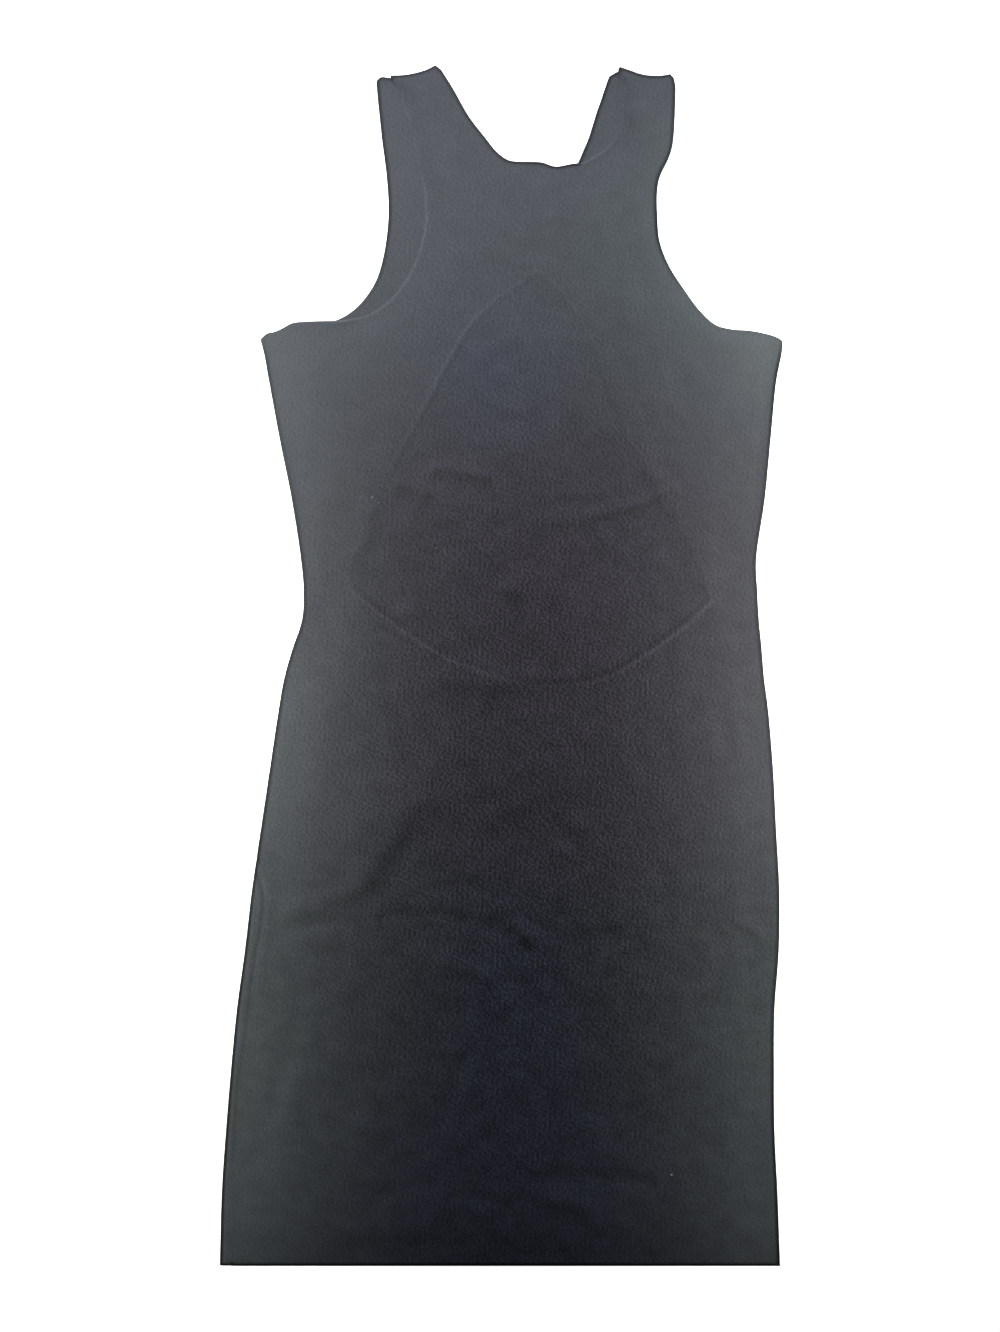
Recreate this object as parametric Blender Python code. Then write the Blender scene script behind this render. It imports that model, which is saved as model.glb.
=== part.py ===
"""Sleeveless bodycon dress lying flat, front up: a front panel on a back panel with a keyhole.

Metres, +Z up, +Y from the hem to the shoulders, the underside on z = 0.
"""
import math

import bmesh
import bpy
import numpy as np
from mathutils import Vector
from mathutils.geometry import delaunay_2d_cdt

# ---- driving sizes, in millimetres -----------------------------------------------------------
DRESS_LENGTH = 924.0          # hem to the highest point of the shoulder
WALL = 1.6                    # stretch crepe, one layer
SEAM_GAP = 0.3                # clear air between the two layers where they meet
EDGE_TURN = 7.0               # width of the turned edge at neck, armholes and keyhole
EDGE_EXTRA = 0.7              # extra thickness of a turned edge
SEAM_TURN = 9.0               # width of the side seam allowance, pressed to the back
SEAM_EXTRA = 0.6              # extra thickness of the allowance
ROUND_OFF = 0.55              # how far a cut or folded edge rounds down
LOFT = 1.5                    # air between the layers away from the seams
SINK_WIDTH = 24.0             # the front sinks to the table over this width inside the keyhole
GRID = 14.5                   # spacing of points across a panel
RIM_STEP = 7.5                # spacing of points along an edge
MM = 0.001

# Side seams: height above the hem, then x of the left and of the right seam.
SIDE_COLUMNS = ("up", "left", "right")
SIDES = (
    (0.0, -216.6, 214.8),
    (58.0, -215.0, 212.7),
    (104.0, -211.9, 210.5),
    (150.0, -208.1, 210.1),
    (197.0, -203.5, 210.5),
    (243.0, -197.3, 213.8),
    (289.0, -191.9, 214.2),
    (335.0, -185.0, 211.8),
    (382.0, -178.0, 209.4),
    (428.0, -171.1, 205.6),
    (452.0, -166.9, 202.5),
    (475.0, -160.4, 200.6),
    (497.0, -153.2, 198.5),
    (520.0, -151.9, 197.2),
    (543.0, -153.9, 196.4),
    (590.0, -161.1, 203.0),
    (636.0, -170.3, 207.5),
    (682.0, -178.8, 212.1),
    (703.0, -182.6, 216.2),
    (711.5, -184.9, 216.9),
)
# The left seam rolls to the front below the hip: height above the hem, then how far it lies in.
ROLL_COLUMNS = ("up", "inward")
SEAM_ROLL = (
    (0.0, 9.2),
    (50.0, 8.4),
    (100.0, 7.0),
    (140.0, 6.4),
    (190.0, 8.6),
    (235.0, 8.0),
    (280.0, 9.8),
    (296.0, 5.0),
    (308.0, 1.2),
    (318.0, 0.0),
)
# Armholes, from the underarm to the shoulder: x and height above the hem.
POINT_COLUMNS = ("x", "up")
FRONT_LEFT_ARMHOLE = (
    (-184.9, 713.4),
    (-180.0, 717.6),
    (-174.5, 718.6),
    (-168.0, 721.6),
    (-161.0, 725.4),
    (-147.0, 726.8),
    (-120.2, 727.9),
    (-100.0, 733.4),
    (-82.5, 747.0),
    (-70.0, 765.0),
    (-61.5, 787.0),
    (-58.2, 807.0),
    (-59.5, 826.0),
    (-64.5, 848.0),
    (-69.5, 873.0),
    (-76.5, 897.0),
    (-85.0, 914.8),
)
BACK_LEFT_ARMHOLE = (
    (-184.9, 711.8),
    (-165.0, 715.5),
    (-145.0, 722.0),
    (-124.1, 729.1),
    (-114.1, 735.3),
    (-105.6, 743.7),
    (-96.0, 759.0),
    (-90.0, 780.0),
    (-86.7, 809.0),
    (-88.0, 838.0),
    (-91.7, 867.0),
    (-94.8, 897.0),
    (-96.0, 911.0),
)
FRONT_RIGHT_ARMHOLE = (
    (216.9, 712.0),
    (211.5, 715.0),
    (204.0, 717.2),
    (192.0, 719.6),
    (176.0, 721.0),
    (165.0, 724.3),
    (152.3, 736.0),
    (140.6, 752.0),
    (129.4, 769.5),
    (122.0, 789.0),
    (120.4, 808.0),
    (120.2, 826.0),
    (122.3, 838.0),
    (128.5, 851.0),
    (131.6, 860.0),
    (133.2, 872.0),
    (134.2, 897.8),
    (134.4, 908.0),
    (133.0, 914.4),
)
BACK_RIGHT_ARMHOLE = (
    (216.9, 710.8),
    (194.0, 713.6),
    (168.0, 717.5),
    (150.0, 727.0),
    (134.0, 745.0),
    (121.0, 767.0),
    (112.5, 790.0),
    (109.5, 815.0),
    (112.0, 842.0),
    (119.0, 872.0),
    (122.0, 898.0),
    (121.5, 912.4),
)
# Necklines, from the right shoulder down and up to the left one.
FRONT_NECK = (
    (90.2, 921.4),
    (89.6, 901.7),
    (89.3, 882.4),
    (86.6, 868.0),
    (80.2, 859.8),
    (70.9, 854.0),
    (62.8, 849.3),
    (54.0, 847.9),
    (42.0, 846.1),
    (31.5, 849.3),
    (18.0, 849.9),
    (6.2, 850.9),
    (-3.0, 857.2),
    (-12.3, 868.6),
    (-24.7, 884.7),
    (-37.0, 906.3),
    (-46.0, 920.6),
)
BACK_NECK = (
    (83.2, 915.6),
    (80.0, 906.6),
    (76.9, 897.2),
    (73.6, 887.9),
    (70.6, 878.2),
    (67.6, 868.6),
    (64.0, 860.0),
    (58.0, 847.0),
    (47.0, 833.5),
    (34.0, 828.4),
    (14.6, 829.6),
    (-6.0, 840.0),
    (-22.0, 860.0),
    (-37.0, 884.0),
    (-50.0, 906.0),
    (-57.0, 917.4),
)
# Shoulder tops, from the armhole to the neckline on the left and back out on the right.
FRONT_LEFT_SHOULDER = (
    (-85.0, 916.0),
    (-74.8, 916.4),
    (-65.5, 918.0),
    (-57.0, 920.6),
    (-50.5, 924.0),
)
BACK_LEFT_SHOULDER = (
    (-95.6, 912.6),
    (-92.5, 915.2),
    (-85.0, 914.6),
    (-72.0, 915.0),
    (-61.0, 917.6),
)
FRONT_RIGHT_SHOULDER = (
    (91.5, 922.6),
    (99.4, 920.0),
    (109.0, 916.8),
    (122.0, 915.8),
    (130.3, 917.2),
)
BACK_RIGHT_SHOULDER = (
    (84.5, 916.4),
    (91.0, 919.6),
    (101.0, 916.6),
    (118.0, 914.0),
)
# Keyhole in the back: height above the hem, then x of its left and right edge.
KEYHOLE = (
    (755.5, 12.5, 40.6),
    (743.7, -4.6, 51.2),
    (724.5, -23.9, 63.6),
    (702.9, -37.8, 73.8),
    (667.0, -57.0, 88.0),
    (639.7, -71.7, 98.9),
    (603.5, -90.9, 116.8),
    (558.0, -110.2, 143.8),
    (534.0, -118.6, 157.4),
)
KEYHOLE_TOP = (27.7, 765.3)
# Lower edge of the keyhole from its left corner to its right one.
KEYHOLE_FOOT = (
    (-117.0, 520.0),
    (-90.9, 499.4),
    (-64.0, 480.4),
    (-33.1, 463.2),
    (0.8, 451.6),
    (32.0, 446.0),
    (73.2, 449.3),
    (96.0, 459.6),
    (120.0, 475.4),
    (144.0, 493.6),
    (162.4, 511.0),
)
# Folds and creases of the front: ends, sideways bend, half width and height (negative sinks).
FOLD_COLUMNS = ("name", "x0", "up0", "x1", "up1", "bend", "width", "height")
FOLDS = (
    ("centre press line upper", 19.0, 610.0, 18.0, 300.0, 1.0, 5.0, -0.5),
    ("centre press line lower", 20.0, 236.0, 16.0, 24.0, -1.0, 5.0, -0.6),
    ("cross press line left", -192.0, 263.0, 8.0, 262.0, 9.0, 8.0, -1.3),
    ("cross press ridge left", -176.0, 276.0, 0.0, 276.0, 8.0, 7.0, 0.9),
    ("cross press line right", 40.0, 262.0, 207.0, 257.0, 4.0, 8.0, -1.2),
    ("cross press ridge right", 44.0, 272.0, 190.0, 268.0, 4.0, 7.0, 0.8),
    ("pucker ridge", 2.0, 277.0, 36.0, 262.0, 2.0, 7.0, 2.6),
    ("pucker sink", 6.0, 246.0, 46.0, 258.0, -2.0, 7.0, -1.6),
    ("hip fold sink", -52.0, 352.0, -176.0, 262.0, -12.0, 17.0, -2.2),
    ("hip fold ridge", -66.0, 372.0, -166.0, 294.0, -10.0, 15.0, 2.0),
    ("side ridge upper", -179.0, 271.0, -187.0, 206.0, 3.0, 7.0, 1.7),
    ("side ridge lower", -157.0, 158.0, -178.0, 74.0, 8.0, 8.0, 1.8),
    ("side sink lower", -175.0, 200.0, -172.0, 150.0, 2.0, 8.0, -1.3),
    ("waist crease a", -56.0, 612.0, -8.0, 597.0, -3.0, 7.0, -1.4),
    ("waist crease b", -84.0, 598.0, -56.0, 588.0, 2.0, 6.0, -1.2),
    ("waist ridge left", -76.0, 606.0, -20.0, 590.0, 3.0, 8.0, 1.0),
    ("waist ridge right", 50.0, 582.0, 142.0, 606.0, -7.0, 8.0, 2.2),
    ("waist sink right", 60.0, 567.0, 148.0, 594.0, -7.0, 7.0, -1.3),
    ("waist crease c", 30.0, 570.0, 76.0, 563.0, 2.0, 6.0, -1.2),
    ("side waist crease", -150.0, 573.0, -104.0, 572.0, 1.0, 6.0, -1.0),
    ("keyhole shadow", -56.0, 449.0, 10.0, 432.0, -4.0, 9.0, -1.2),
    ("tummy fold", -52.0, 400.0, -4.0, 378.0, 4.0, 9.0, 1.4),
    ("lap fold a", -48.0, 228.0, -2.0, 200.0, -5.0, 8.0, -1.4),
    ("lap fold b", -24.0, 146.0, -10.0, 118.0, -2.0, 9.0, -1.1),
    ("hem ripple left", -102.0, 60.0, 2.0, 55.0, 5.0, 7.0, 1.3),
    ("hem ripple right", 14.0, 72.0, 116.0, 74.0, -2.0, 7.0, -1.1),
    ("hem ridge right", 54.0, 61.0, 114.0, 62.0, -2.0, 7.0, 1.2),
    ("hem hook", 36.0, 45.0, 82.0, 16.0, 8.0, 7.0, -1.2),
    ("left underarm ripple", -168.0, 700.0, -120.0, 660.0, -6.0, 14.0, 1.2),
    ("right underarm ripple", 198.0, 700.0, 150.0, 654.0, 6.0, 14.0, 1.3),
    ("right chest line", 112.0, 706.0, 146.0, 650.0, 6.0, 6.0, 0.9),
)
# Broad swells of the cloth: centre, reach across and along, height.
SWELL_COLUMNS = ("x", "up", "across", "along", "height")
SWELLS = (
    (-120.0, 640.0, 60.0, 80.0, 0.9),
    (150.0, 620.0, 50.0, 90.0, 1.0),
    (-100.0, 430.0, 70.0, 60.0, 0.8),
    (120.0, 400.0, 80.0, 70.0, 1.0),
    (20.0, 340.0, 60.0, 40.0, 0.9),
    (-120.0, 210.0, 60.0, 50.0, 1.1),
    (110.0, 190.0, 80.0, 60.0, 0.9),
    (0.0, 110.0, 70.0, 50.0, 0.8),
    (30.0, 800.0, 50.0, 40.0, 0.7),
)

bpy.context.scene.unit_settings.system = "METRIC"
for old in list(bpy.data.objects):
    bpy.data.objects.remove(old, do_unlink=True)


# ---- curves ----------------------------------------------------------------------------------
def smooth_path(rows, step):
    """Points at even steps along a smooth curve through the rows."""
    knots = [np.array(row, float) for row in rows]
    first = 2 * knots[0] - knots[1]
    last = 2 * knots[-1] - knots[-2]
    knots = [first] + knots + [last]
    dense = []
    for i in range(1, len(knots) - 2):
        a, b, c, d = knots[i - 1:i + 3]
        ab = max(np.linalg.norm(b - a) ** 0.5, 1e-6)
        bc = max(np.linalg.norm(c - b) ** 0.5, 1e-6)
        cd = max(np.linalg.norm(d - c) ** 0.5, 1e-6)
        pull_b = bc * ((b - a) / ab - (c - a) / (ab + bc) + (c - b) / bc)
        pull_c = bc * ((c - b) / bc - (d - b) / (bc + cd) + (d - c) / cd)
        for k in range(24):
            t = k / 24.0
            h00 = 2 * t ** 3 - 3 * t ** 2 + 1
            h10 = t ** 3 - 2 * t ** 2 + t
            h01 = -2 * t ** 3 + 3 * t ** 2
            h11 = t ** 3 - t ** 2
            dense.append(h00 * b + h10 * pull_b + h01 * c + h11 * pull_c)
    dense.append(knots[-2])
    dense = np.array(dense)
    run = np.concatenate([[0.0], np.cumsum(np.linalg.norm(np.diff(dense, axis=0), axis=1))])
    count = max(2, int(round(run[-1] / step)) + 1)
    even = np.linspace(0.0, run[-1], count)
    return np.stack([np.interp(even, run, dense[:, k]) for k in (0, 1)], axis=1)


def join_paths(*paths):
    """One closed loop from paths that follow each other, without doubled points."""
    loop = []
    for path in paths:
        for point in path:
            if not loop or np.linalg.norm(point - loop[-1]) > 0.8:
                loop.append(point)
    while np.linalg.norm(loop[0] - loop[-1]) < 0.8:
        loop.pop()
    return np.array(loop)


def side_path(column, step):
    """A side seam from the hem to the underarm."""
    return smooth_path([(row[column], row[0]) for row in SIDES], step)


def rolled_side(step):
    """The left edge of the front, which lies in from the outline where the seam rolls."""
    path = side_path(1, step)
    roll = smooth_path(SEAM_ROLL, 3.0)
    path[:, 0] += np.interp(path[:, 1], roll[:, 0], np.maximum(roll[:, 1], 0.0))
    return path


def hem_path(left, step):
    """The hem from its left end to the right side seam."""
    right = SIDES[0][2]
    count = int((right - left) / step) + 1
    return np.stack([np.linspace(left, right, count), np.zeros(count)], axis=1)


def panel_outline(
    left_side, left_armhole, left_shoulder, neck, right_shoulder, right_armhole
):
    """The cut of one panel, counter-clockwise from the left end of the hem."""
    return join_paths(
        hem_path(left_side[0, 0], RIM_STEP * 1.6),
        side_path(2, RIM_STEP * 1.5),
        smooth_path(right_armhole, RIM_STEP),
        smooth_path(right_shoulder[::-1], RIM_STEP * 0.7),
        smooth_path(neck, RIM_STEP),
        smooth_path(left_shoulder[::-1], RIM_STEP * 0.7),
        smooth_path(left_armhole[::-1], RIM_STEP),
        left_side[::-1],
    )


def keyhole_outline():
    left = [(row[1], row[0]) for row in KEYHOLE]
    right = [(row[2], row[0]) for row in KEYHOLE]
    around = smooth_path(left[::-1] + [KEYHOLE_TOP] + right, RIM_STEP)
    foot = smooth_path(KEYHOLE_FOOT, RIM_STEP)
    return join_paths(around, foot[::-1])


def distance_to(loop, points, closed=True):
    """Shortest distance from each point to a polyline."""
    a = loop
    b = np.roll(loop, -1, axis=0)
    if not closed:
        a, b = loop[:-1], loop[1:]
    best = np.full(len(points), 1e9)
    along = np.zeros(len(points))
    span = b - a
    size = np.maximum((span ** 2).sum(axis=1), 1e-9)
    for k in range(len(a)):
        t = np.clip(((points - a[k]) @ span[k]) / size[k], 0.0, 1.0)
        d = np.linalg.norm(points - (a[k] + t[:, None] * span[k]), axis=1)
        nearer = d < best
        best = np.where(nearer, d, best)
        along = np.where(nearer, (k + t) / len(a), along)
    return best, along


def inside(loop, points):
    """True for the points that a closed loop holds."""
    held = np.zeros(len(points), bool)
    x, y = points[:, 0], points[:, 1]
    for a, b in zip(loop, np.roll(loop, -1, axis=0)):
        if a[1] == b[1]:
            continue
        crosses = (a[1] > y) != (b[1] > y)
        at = a[0] + (y - a[1]) * (b[0] - a[0]) / (b[1] - a[1])
        held ^= crosses & (x < at)
    return held


def inset(loop, by):
    """The loop moved sideways by its corner normals; positive goes to its left hand."""
    ahead = np.roll(loop, -1, axis=0) - loop
    behind = loop - np.roll(loop, 1, axis=0)
    ahead /= np.linalg.norm(ahead, axis=1)[:, None]
    behind /= np.linalg.norm(behind, axis=1)[:, None]
    along = ahead + behind
    along /= np.maximum(np.linalg.norm(along, axis=1), 1e-6)[:, None]
    return loop + by * np.stack([-along[:, 1], along[:, 0]], axis=1)


def ease(x, start, end):
    """0 below start, 1 above end, smooth between."""
    t = np.clip((x - start) / (end - start), 0.0, 1.0)
    return t * t * (3 - 2 * t)


# ---- outlines --------------------------------------------------------------------------------
front_loop = panel_outline(
    rolled_side(RIM_STEP * 1.5),
    FRONT_LEFT_ARMHOLE,
    FRONT_LEFT_SHOULDER,
    FRONT_NECK,
    FRONT_RIGHT_SHOULDER,
    FRONT_RIGHT_ARMHOLE,
)
back_loop = panel_outline(
    side_path(1, RIM_STEP * 1.5),
    BACK_LEFT_ARMHOLE,
    BACK_LEFT_SHOULDER,
    BACK_NECK,
    BACK_RIGHT_SHOULDER,
    BACK_RIGHT_ARMHOLE,
)
keyhole_loop = keyhole_outline()
seam_left = side_path(1, 6.0)
seam_right = side_path(2, 6.0)


def fold_path(fold):
    """Points along one fold, bent sideways in the middle."""
    start = np.array((fold["x0"], fold["up0"]))
    end = np.array((fold["x1"], fold["up1"]))
    run = end - start
    side = np.array((-run[1], run[0])) / np.linalg.norm(run)
    steps = max(3, int(np.linalg.norm(run) / 9.0) + 1)
    t = np.linspace(0.0, 1.0, steps)[:, None]
    return start + run * t + side * fold["bend"] * 4 * t * (1 - t)


fold_rows = [dict(zip(FOLD_COLUMNS, row)) for row in FOLDS]
swell_rows = [dict(zip(SWELL_COLUMNS, row)) for row in SWELLS]


# ---- heights ---------------------------------------------------------------------------------
def edge_rise(points):
    """Extra thickness of the back at its turned edges and side seam allowances."""
    to_key, _ = distance_to(keyhole_loop, points)
    to_rim, _ = distance_to(back_loop, points)
    to_left, _ = distance_to(seam_left, points, closed=False)
    to_right, _ = distance_to(seam_right, points, closed=False)
    to_seam = np.minimum(to_left, to_right)
    at_hem = points[:, 1] < EDGE_TURN
    turned = EDGE_EXTRA * (1 - ease(np.minimum(to_key, to_rim), EDGE_TURN - 2.5, EDGE_TURN))
    seamed = SEAM_EXTRA * (1 - ease(to_seam, SEAM_TURN - 3.0, SEAM_TURN))
    rise = np.where(to_seam < SEAM_TURN, seamed, turned)
    return np.where(at_hem & (to_seam > SEAM_TURN), turned, rise)


def back_top(points):
    return WALL + edge_rise(points)


def bed_height(points):
    """The lowest height that the front's underside may have."""
    into, _ = distance_to(keyhole_loop, points)
    within = inside(keyhole_loop, points)
    over = WALL + SEAM_GAP + 0.1
    rim = EDGE_EXTRA * (1 - ease(into, EDGE_TURN, EDGE_TURN + 7.0))
    sunk = 1 - ease(into, 2.5, SINK_WIDTH)
    on_back = over + rim
    in_hole = (over + EDGE_EXTRA) * sunk
    to_rim, _ = distance_to(back_loop, points)
    to_left, _ = distance_to(seam_left, points, closed=False)
    to_right, _ = distance_to(seam_right, points, closed=False)
    to_seam = np.minimum(to_left, to_right)
    high = max(EDGE_EXTRA, SEAM_EXTRA)
    near = high * (1 - ease(np.minimum(to_seam, to_rim), SEAM_TURN + 1.0, SEAM_TURN + 9.0))
    return np.where(within, in_hole, np.maximum(on_back, over + near))


def fold_height(points):
    """Sum of the folds, creases and swells of the front."""
    total = np.zeros(len(points))
    for fold in fold_rows:
        path = fold_path(fold)
        away, along = distance_to(path, points, closed=False)
        taper = np.sin(np.pi * np.clip(along, 0.0, 1.0)) ** 0.6
        total += fold["height"] * taper * np.exp(-(away / fold["width"]) ** 2)
    for swell in swell_rows:
        across = (points[:, 0] - swell["x"]) / swell["across"]
        along = (points[:, 1] - swell["up"]) / swell["along"]
        total += swell["height"] * np.exp(-across ** 2 - along ** 2)
    return total


def front_low(points):
    to_rim, _ = distance_to(front_loop, points)
    loft = LOFT * ease(to_rim, 3.0, 45.0)
    near_rim = ease(to_rim, 0.0, 16.0)
    lift = np.maximum(0.0, loft + near_rim * fold_height(points))
    return bed_height(points) + lift


def slope_of(height, points):
    """Steepness of a height field, for walls of even thickness on slopes."""
    step = 1.0
    east = height(points + (step, 0.0)) - height(points - (step, 0.0))
    north = height(points + (0.0, step)) - height(points - (0.0, step))
    return np.sqrt(east ** 2 + north ** 2) / (2 * step)


def rounded(loop, points):
    """How far the top of a panel comes down at its cut edges."""
    to_rim, _ = distance_to(loop, points)
    return ROUND_OFF * (1 - np.clip(to_rim / 2.2, 0.0, 1.0)) ** 2


# ---- panels ----------------------------------------------------------------------------------
def spread(existing, extra, clear):
    """Add the points that stay clear of those already there."""
    kept = list(existing)
    cells = {}
    for p in kept:
        cells.setdefault((int(p[0] // clear), int(p[1] // clear)), []).append(p)
    for p in extra:
        cx, cy = int(p[0] // clear), int(p[1] // clear)
        near = [q for i in (-1, 0, 1) for j in (-1, 0, 1) for q in cells.get((cx + i, cy + j), [])]
        if all((p[0] - q[0]) ** 2 + (p[1] - q[1]) ** 2 >= clear ** 2 for q in near):
            kept.append(p)
            cells.setdefault((cx, cy), []).append(p)
    return kept


def grid_points(spacing):
    """Staggered rows that cover the dress."""
    rows = []
    row_height = spacing * math.sqrt(3) / 2
    count = int(DRESS_LENGTH / row_height) + 1
    for j in range(count):
        start = -225.0 + (spacing / 2 if j % 2 else 0.0)
        rows += [(start + i * spacing, j * row_height) for i in range(int(450 / spacing) + 1)]
    return np.array(rows)


def panel_points(loop, holes, rings, creases):
    """Edge points first, then rings beside the edges, creases and an even field."""
    points = [tuple(p) for p in loop]
    for hole in holes:
        points += [tuple(p) for p in hole]
    fixed = len(points)

    def fits(candidates, margin):
        ok = inside(loop, candidates)
        ok &= distance_to(loop, candidates)[0] > margin
        for hole in holes:
            ok &= ~inside(hole, candidates)
            ok &= distance_to(hole, candidates)[0] > margin
        return candidates[ok]

    for ring, clear in rings:
        points = spread(points, fits(ring, clear * 0.45), clear)
    for path, clear in creases:
        points = spread(points, fits(path, 4.0), clear)
    points = spread(points, fits(grid_points(GRID), 6.5), GRID * 0.55)
    return np.array(points), fixed


def triangulate(points, loops):
    """Triangles of the region that the first loop holds less the other loops."""
    edges = []
    start = 0
    for loop in loops:
        size = len(loop)
        edges += [(start + i, start + (i + 1) % size) for i in range(size)]
        start += size
    flat = [Vector((float(x), float(y))) for x, y in points]
    verts, _, faces, origin, _, _ = delaunay_2d_cdt(flat, edges, [], 0, 1e-5)
    where = np.array([(v.x, v.y) for v in verts])
    faces = np.array(faces)
    middle = where[faces].mean(axis=1)
    held = inside(loops[0], middle)
    for loop in loops[1:]:
        held &= ~inside(loop, middle)
    kept = faces[held]
    a, b, c = (where[kept[:, k]] for k in range(3))
    area = (b[:, 0] - a[:, 0]) * (c[:, 1] - a[:, 1]) - (c[:, 0] - a[:, 0]) * (b[:, 1] - a[:, 1])
    kept = np.where((area < 0)[:, None], kept[:, ::-1], kept)
    return where, kept[np.abs(area) > 1e-4]


def make_material(name, colour, roughness):
    material = bpy.data.materials.new(name)
    material.use_nodes = True
    shader = material.node_tree.nodes["Principled BSDF"]
    shader.inputs["Base Color"].default_value = (*colour, 1.0)
    shader.inputs["Roughness"].default_value = roughness
    shader.inputs["Metallic"].default_value = 0.0
    return material


def make_panel(name, where, triangles, low, high, material):
    """A closed wall between a lower and an upper skin with the same triangles."""
    used = np.unique(triangles)
    renumber = {int(old): new for new, old in enumerate(used)}
    count = len(used)
    centre_x = (back_loop[:, 0].min() + back_loop[:, 0].max()) / 2
    centre_y = DRESS_LENGTH / 2
    verts = []
    for heights in (low, high):
        for i in used:
            x = (where[i, 0] - centre_x) * MM
            y = (where[i, 1] - centre_y) * MM
            verts.append((x, y, heights[i] * MM))
    faces = []
    borders = {}
    for tri in triangles:
        a, b, c = (renumber[int(i)] for i in tri)
        faces.append((a + count, b + count, c + count))
        faces.append((c, b, a))
        for edge in ((a, b), (b, c), (c, a)):
            borders[edge] = True
    for a, b in borders:
        if (b, a) not in borders:
            faces.append((a, b, b + count))
            faces.append((a, b + count, a + count))
    mesh = bpy.data.meshes.new(name)
    mesh.from_pydata(verts, [], faces)
    mesh.materials.append(material)
    shape = bmesh.new()
    shape.from_mesh(mesh)
    bmesh.ops.recalc_face_normals(shape, faces=shape.faces)
    shape.to_mesh(mesh)
    shape.free()
    panel = bpy.data.objects.new(name, mesh)
    bpy.context.collection.objects.link(panel)
    return panel


crepe_front = make_material("charcoal_crepe_front", (0.030, 0.031, 0.036), 0.85)
crepe_back = make_material("charcoal_crepe_back", (0.028, 0.029, 0.034), 0.88)

# Back panel: flat underside, turned edges and seam allowances as a slight rise of its top.
back_rings = [
    (inset(back_loop, 2.2), RIM_STEP * 0.9),
    (inset(back_loop, EDGE_TURN), RIM_STEP * 0.9),
    (inset(keyhole_loop, 2.2), RIM_STEP * 0.9),
    (inset(keyhole_loop, -2.2), RIM_STEP * 0.9),
    (inset(keyhole_loop, EDGE_TURN), RIM_STEP * 0.9),
    (inset(keyhole_loop, -EDGE_TURN), RIM_STEP * 0.9),
]
back_points, _ = panel_points(back_loop, [keyhole_loop], back_rings, [])
back_where, back_tris = triangulate(back_points, [back_loop, keyhole_loop])
back_high = back_top(back_where) - rounded(back_loop, back_where)
back_high -= rounded(keyhole_loop, back_where)
make_panel(
    "back_panel", back_where, back_tris, np.zeros(len(back_where)), back_high, crepe_back
)

# Front panel: lies on the back, sinks into the keyhole and carries the folds.
front_rings = [
    (inset(front_loop, 2.2), RIM_STEP * 0.9),
    (inset(front_loop, SEAM_TURN + 1.0), RIM_STEP * 1.1),
    (inset(front_loop, SEAM_TURN + 9.5), RIM_STEP * 1.3),
    (inset(keyhole_loop, 2.5), RIM_STEP * 0.7),
    (inset(keyhole_loop, -2.5), RIM_STEP * 0.7),
    (inset(keyhole_loop, SINK_WIDTH * 0.36), RIM_STEP * 0.7),
    (inset(keyhole_loop, -EDGE_TURN), RIM_STEP * 0.8),
    (inset(keyhole_loop, SINK_WIDTH * 0.66), RIM_STEP * 0.8),
    (inset(keyhole_loop, -EDGE_TURN - 7.5), RIM_STEP * 1.1),
    (inset(keyhole_loop, SINK_WIDTH + 0.5), RIM_STEP * 1.1),
]
crease_lines = []
for fold_row in fold_rows:
    line = fold_path(fold_row)
    crease_lines.append((line, 7.0))
    ahead = np.gradient(line, axis=0)
    ahead /= np.linalg.norm(ahead, axis=1)[:, None]
    across = np.stack([-ahead[:, 1], ahead[:, 0]], axis=1) * fold_row["width"] * 1.3
    crease_lines.append((line + across, 6.5))
    crease_lines.append((line - across, 6.5))
front_points, _ = panel_points(front_loop, [], front_rings, crease_lines)
front_where, front_tris = triangulate(front_points, [front_loop])
front_under = front_low(front_where)
front_wall = WALL * np.sqrt(1 + slope_of(front_low, front_where) ** 2)
front_over = front_under + front_wall - rounded(front_loop, front_where)
make_panel("front_panel", front_where, front_tris, front_under, front_over, crepe_front)
print("front", len(front_tris), "back", len(back_tris))
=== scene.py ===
# Charcoal crepe bodycon dress, laid out flat with its front up.
import math

import bpy
import numpy as np
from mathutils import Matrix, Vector, kdtree
from mathutils.geometry import delaunay_2d_cdt


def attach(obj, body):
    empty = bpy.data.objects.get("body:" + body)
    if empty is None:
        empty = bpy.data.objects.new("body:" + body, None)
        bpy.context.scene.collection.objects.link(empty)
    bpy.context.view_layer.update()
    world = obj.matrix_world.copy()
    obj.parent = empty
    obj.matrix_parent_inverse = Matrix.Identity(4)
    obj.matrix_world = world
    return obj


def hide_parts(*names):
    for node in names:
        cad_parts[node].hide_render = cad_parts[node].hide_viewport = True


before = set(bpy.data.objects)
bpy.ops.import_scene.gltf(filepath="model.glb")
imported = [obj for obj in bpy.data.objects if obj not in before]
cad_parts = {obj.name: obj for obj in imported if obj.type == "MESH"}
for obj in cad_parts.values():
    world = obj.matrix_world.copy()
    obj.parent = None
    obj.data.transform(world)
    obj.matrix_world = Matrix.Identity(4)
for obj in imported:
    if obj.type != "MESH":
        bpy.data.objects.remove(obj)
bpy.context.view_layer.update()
scene = bpy.context.scene
scene.view_settings.view_transform = "Standard"

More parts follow.
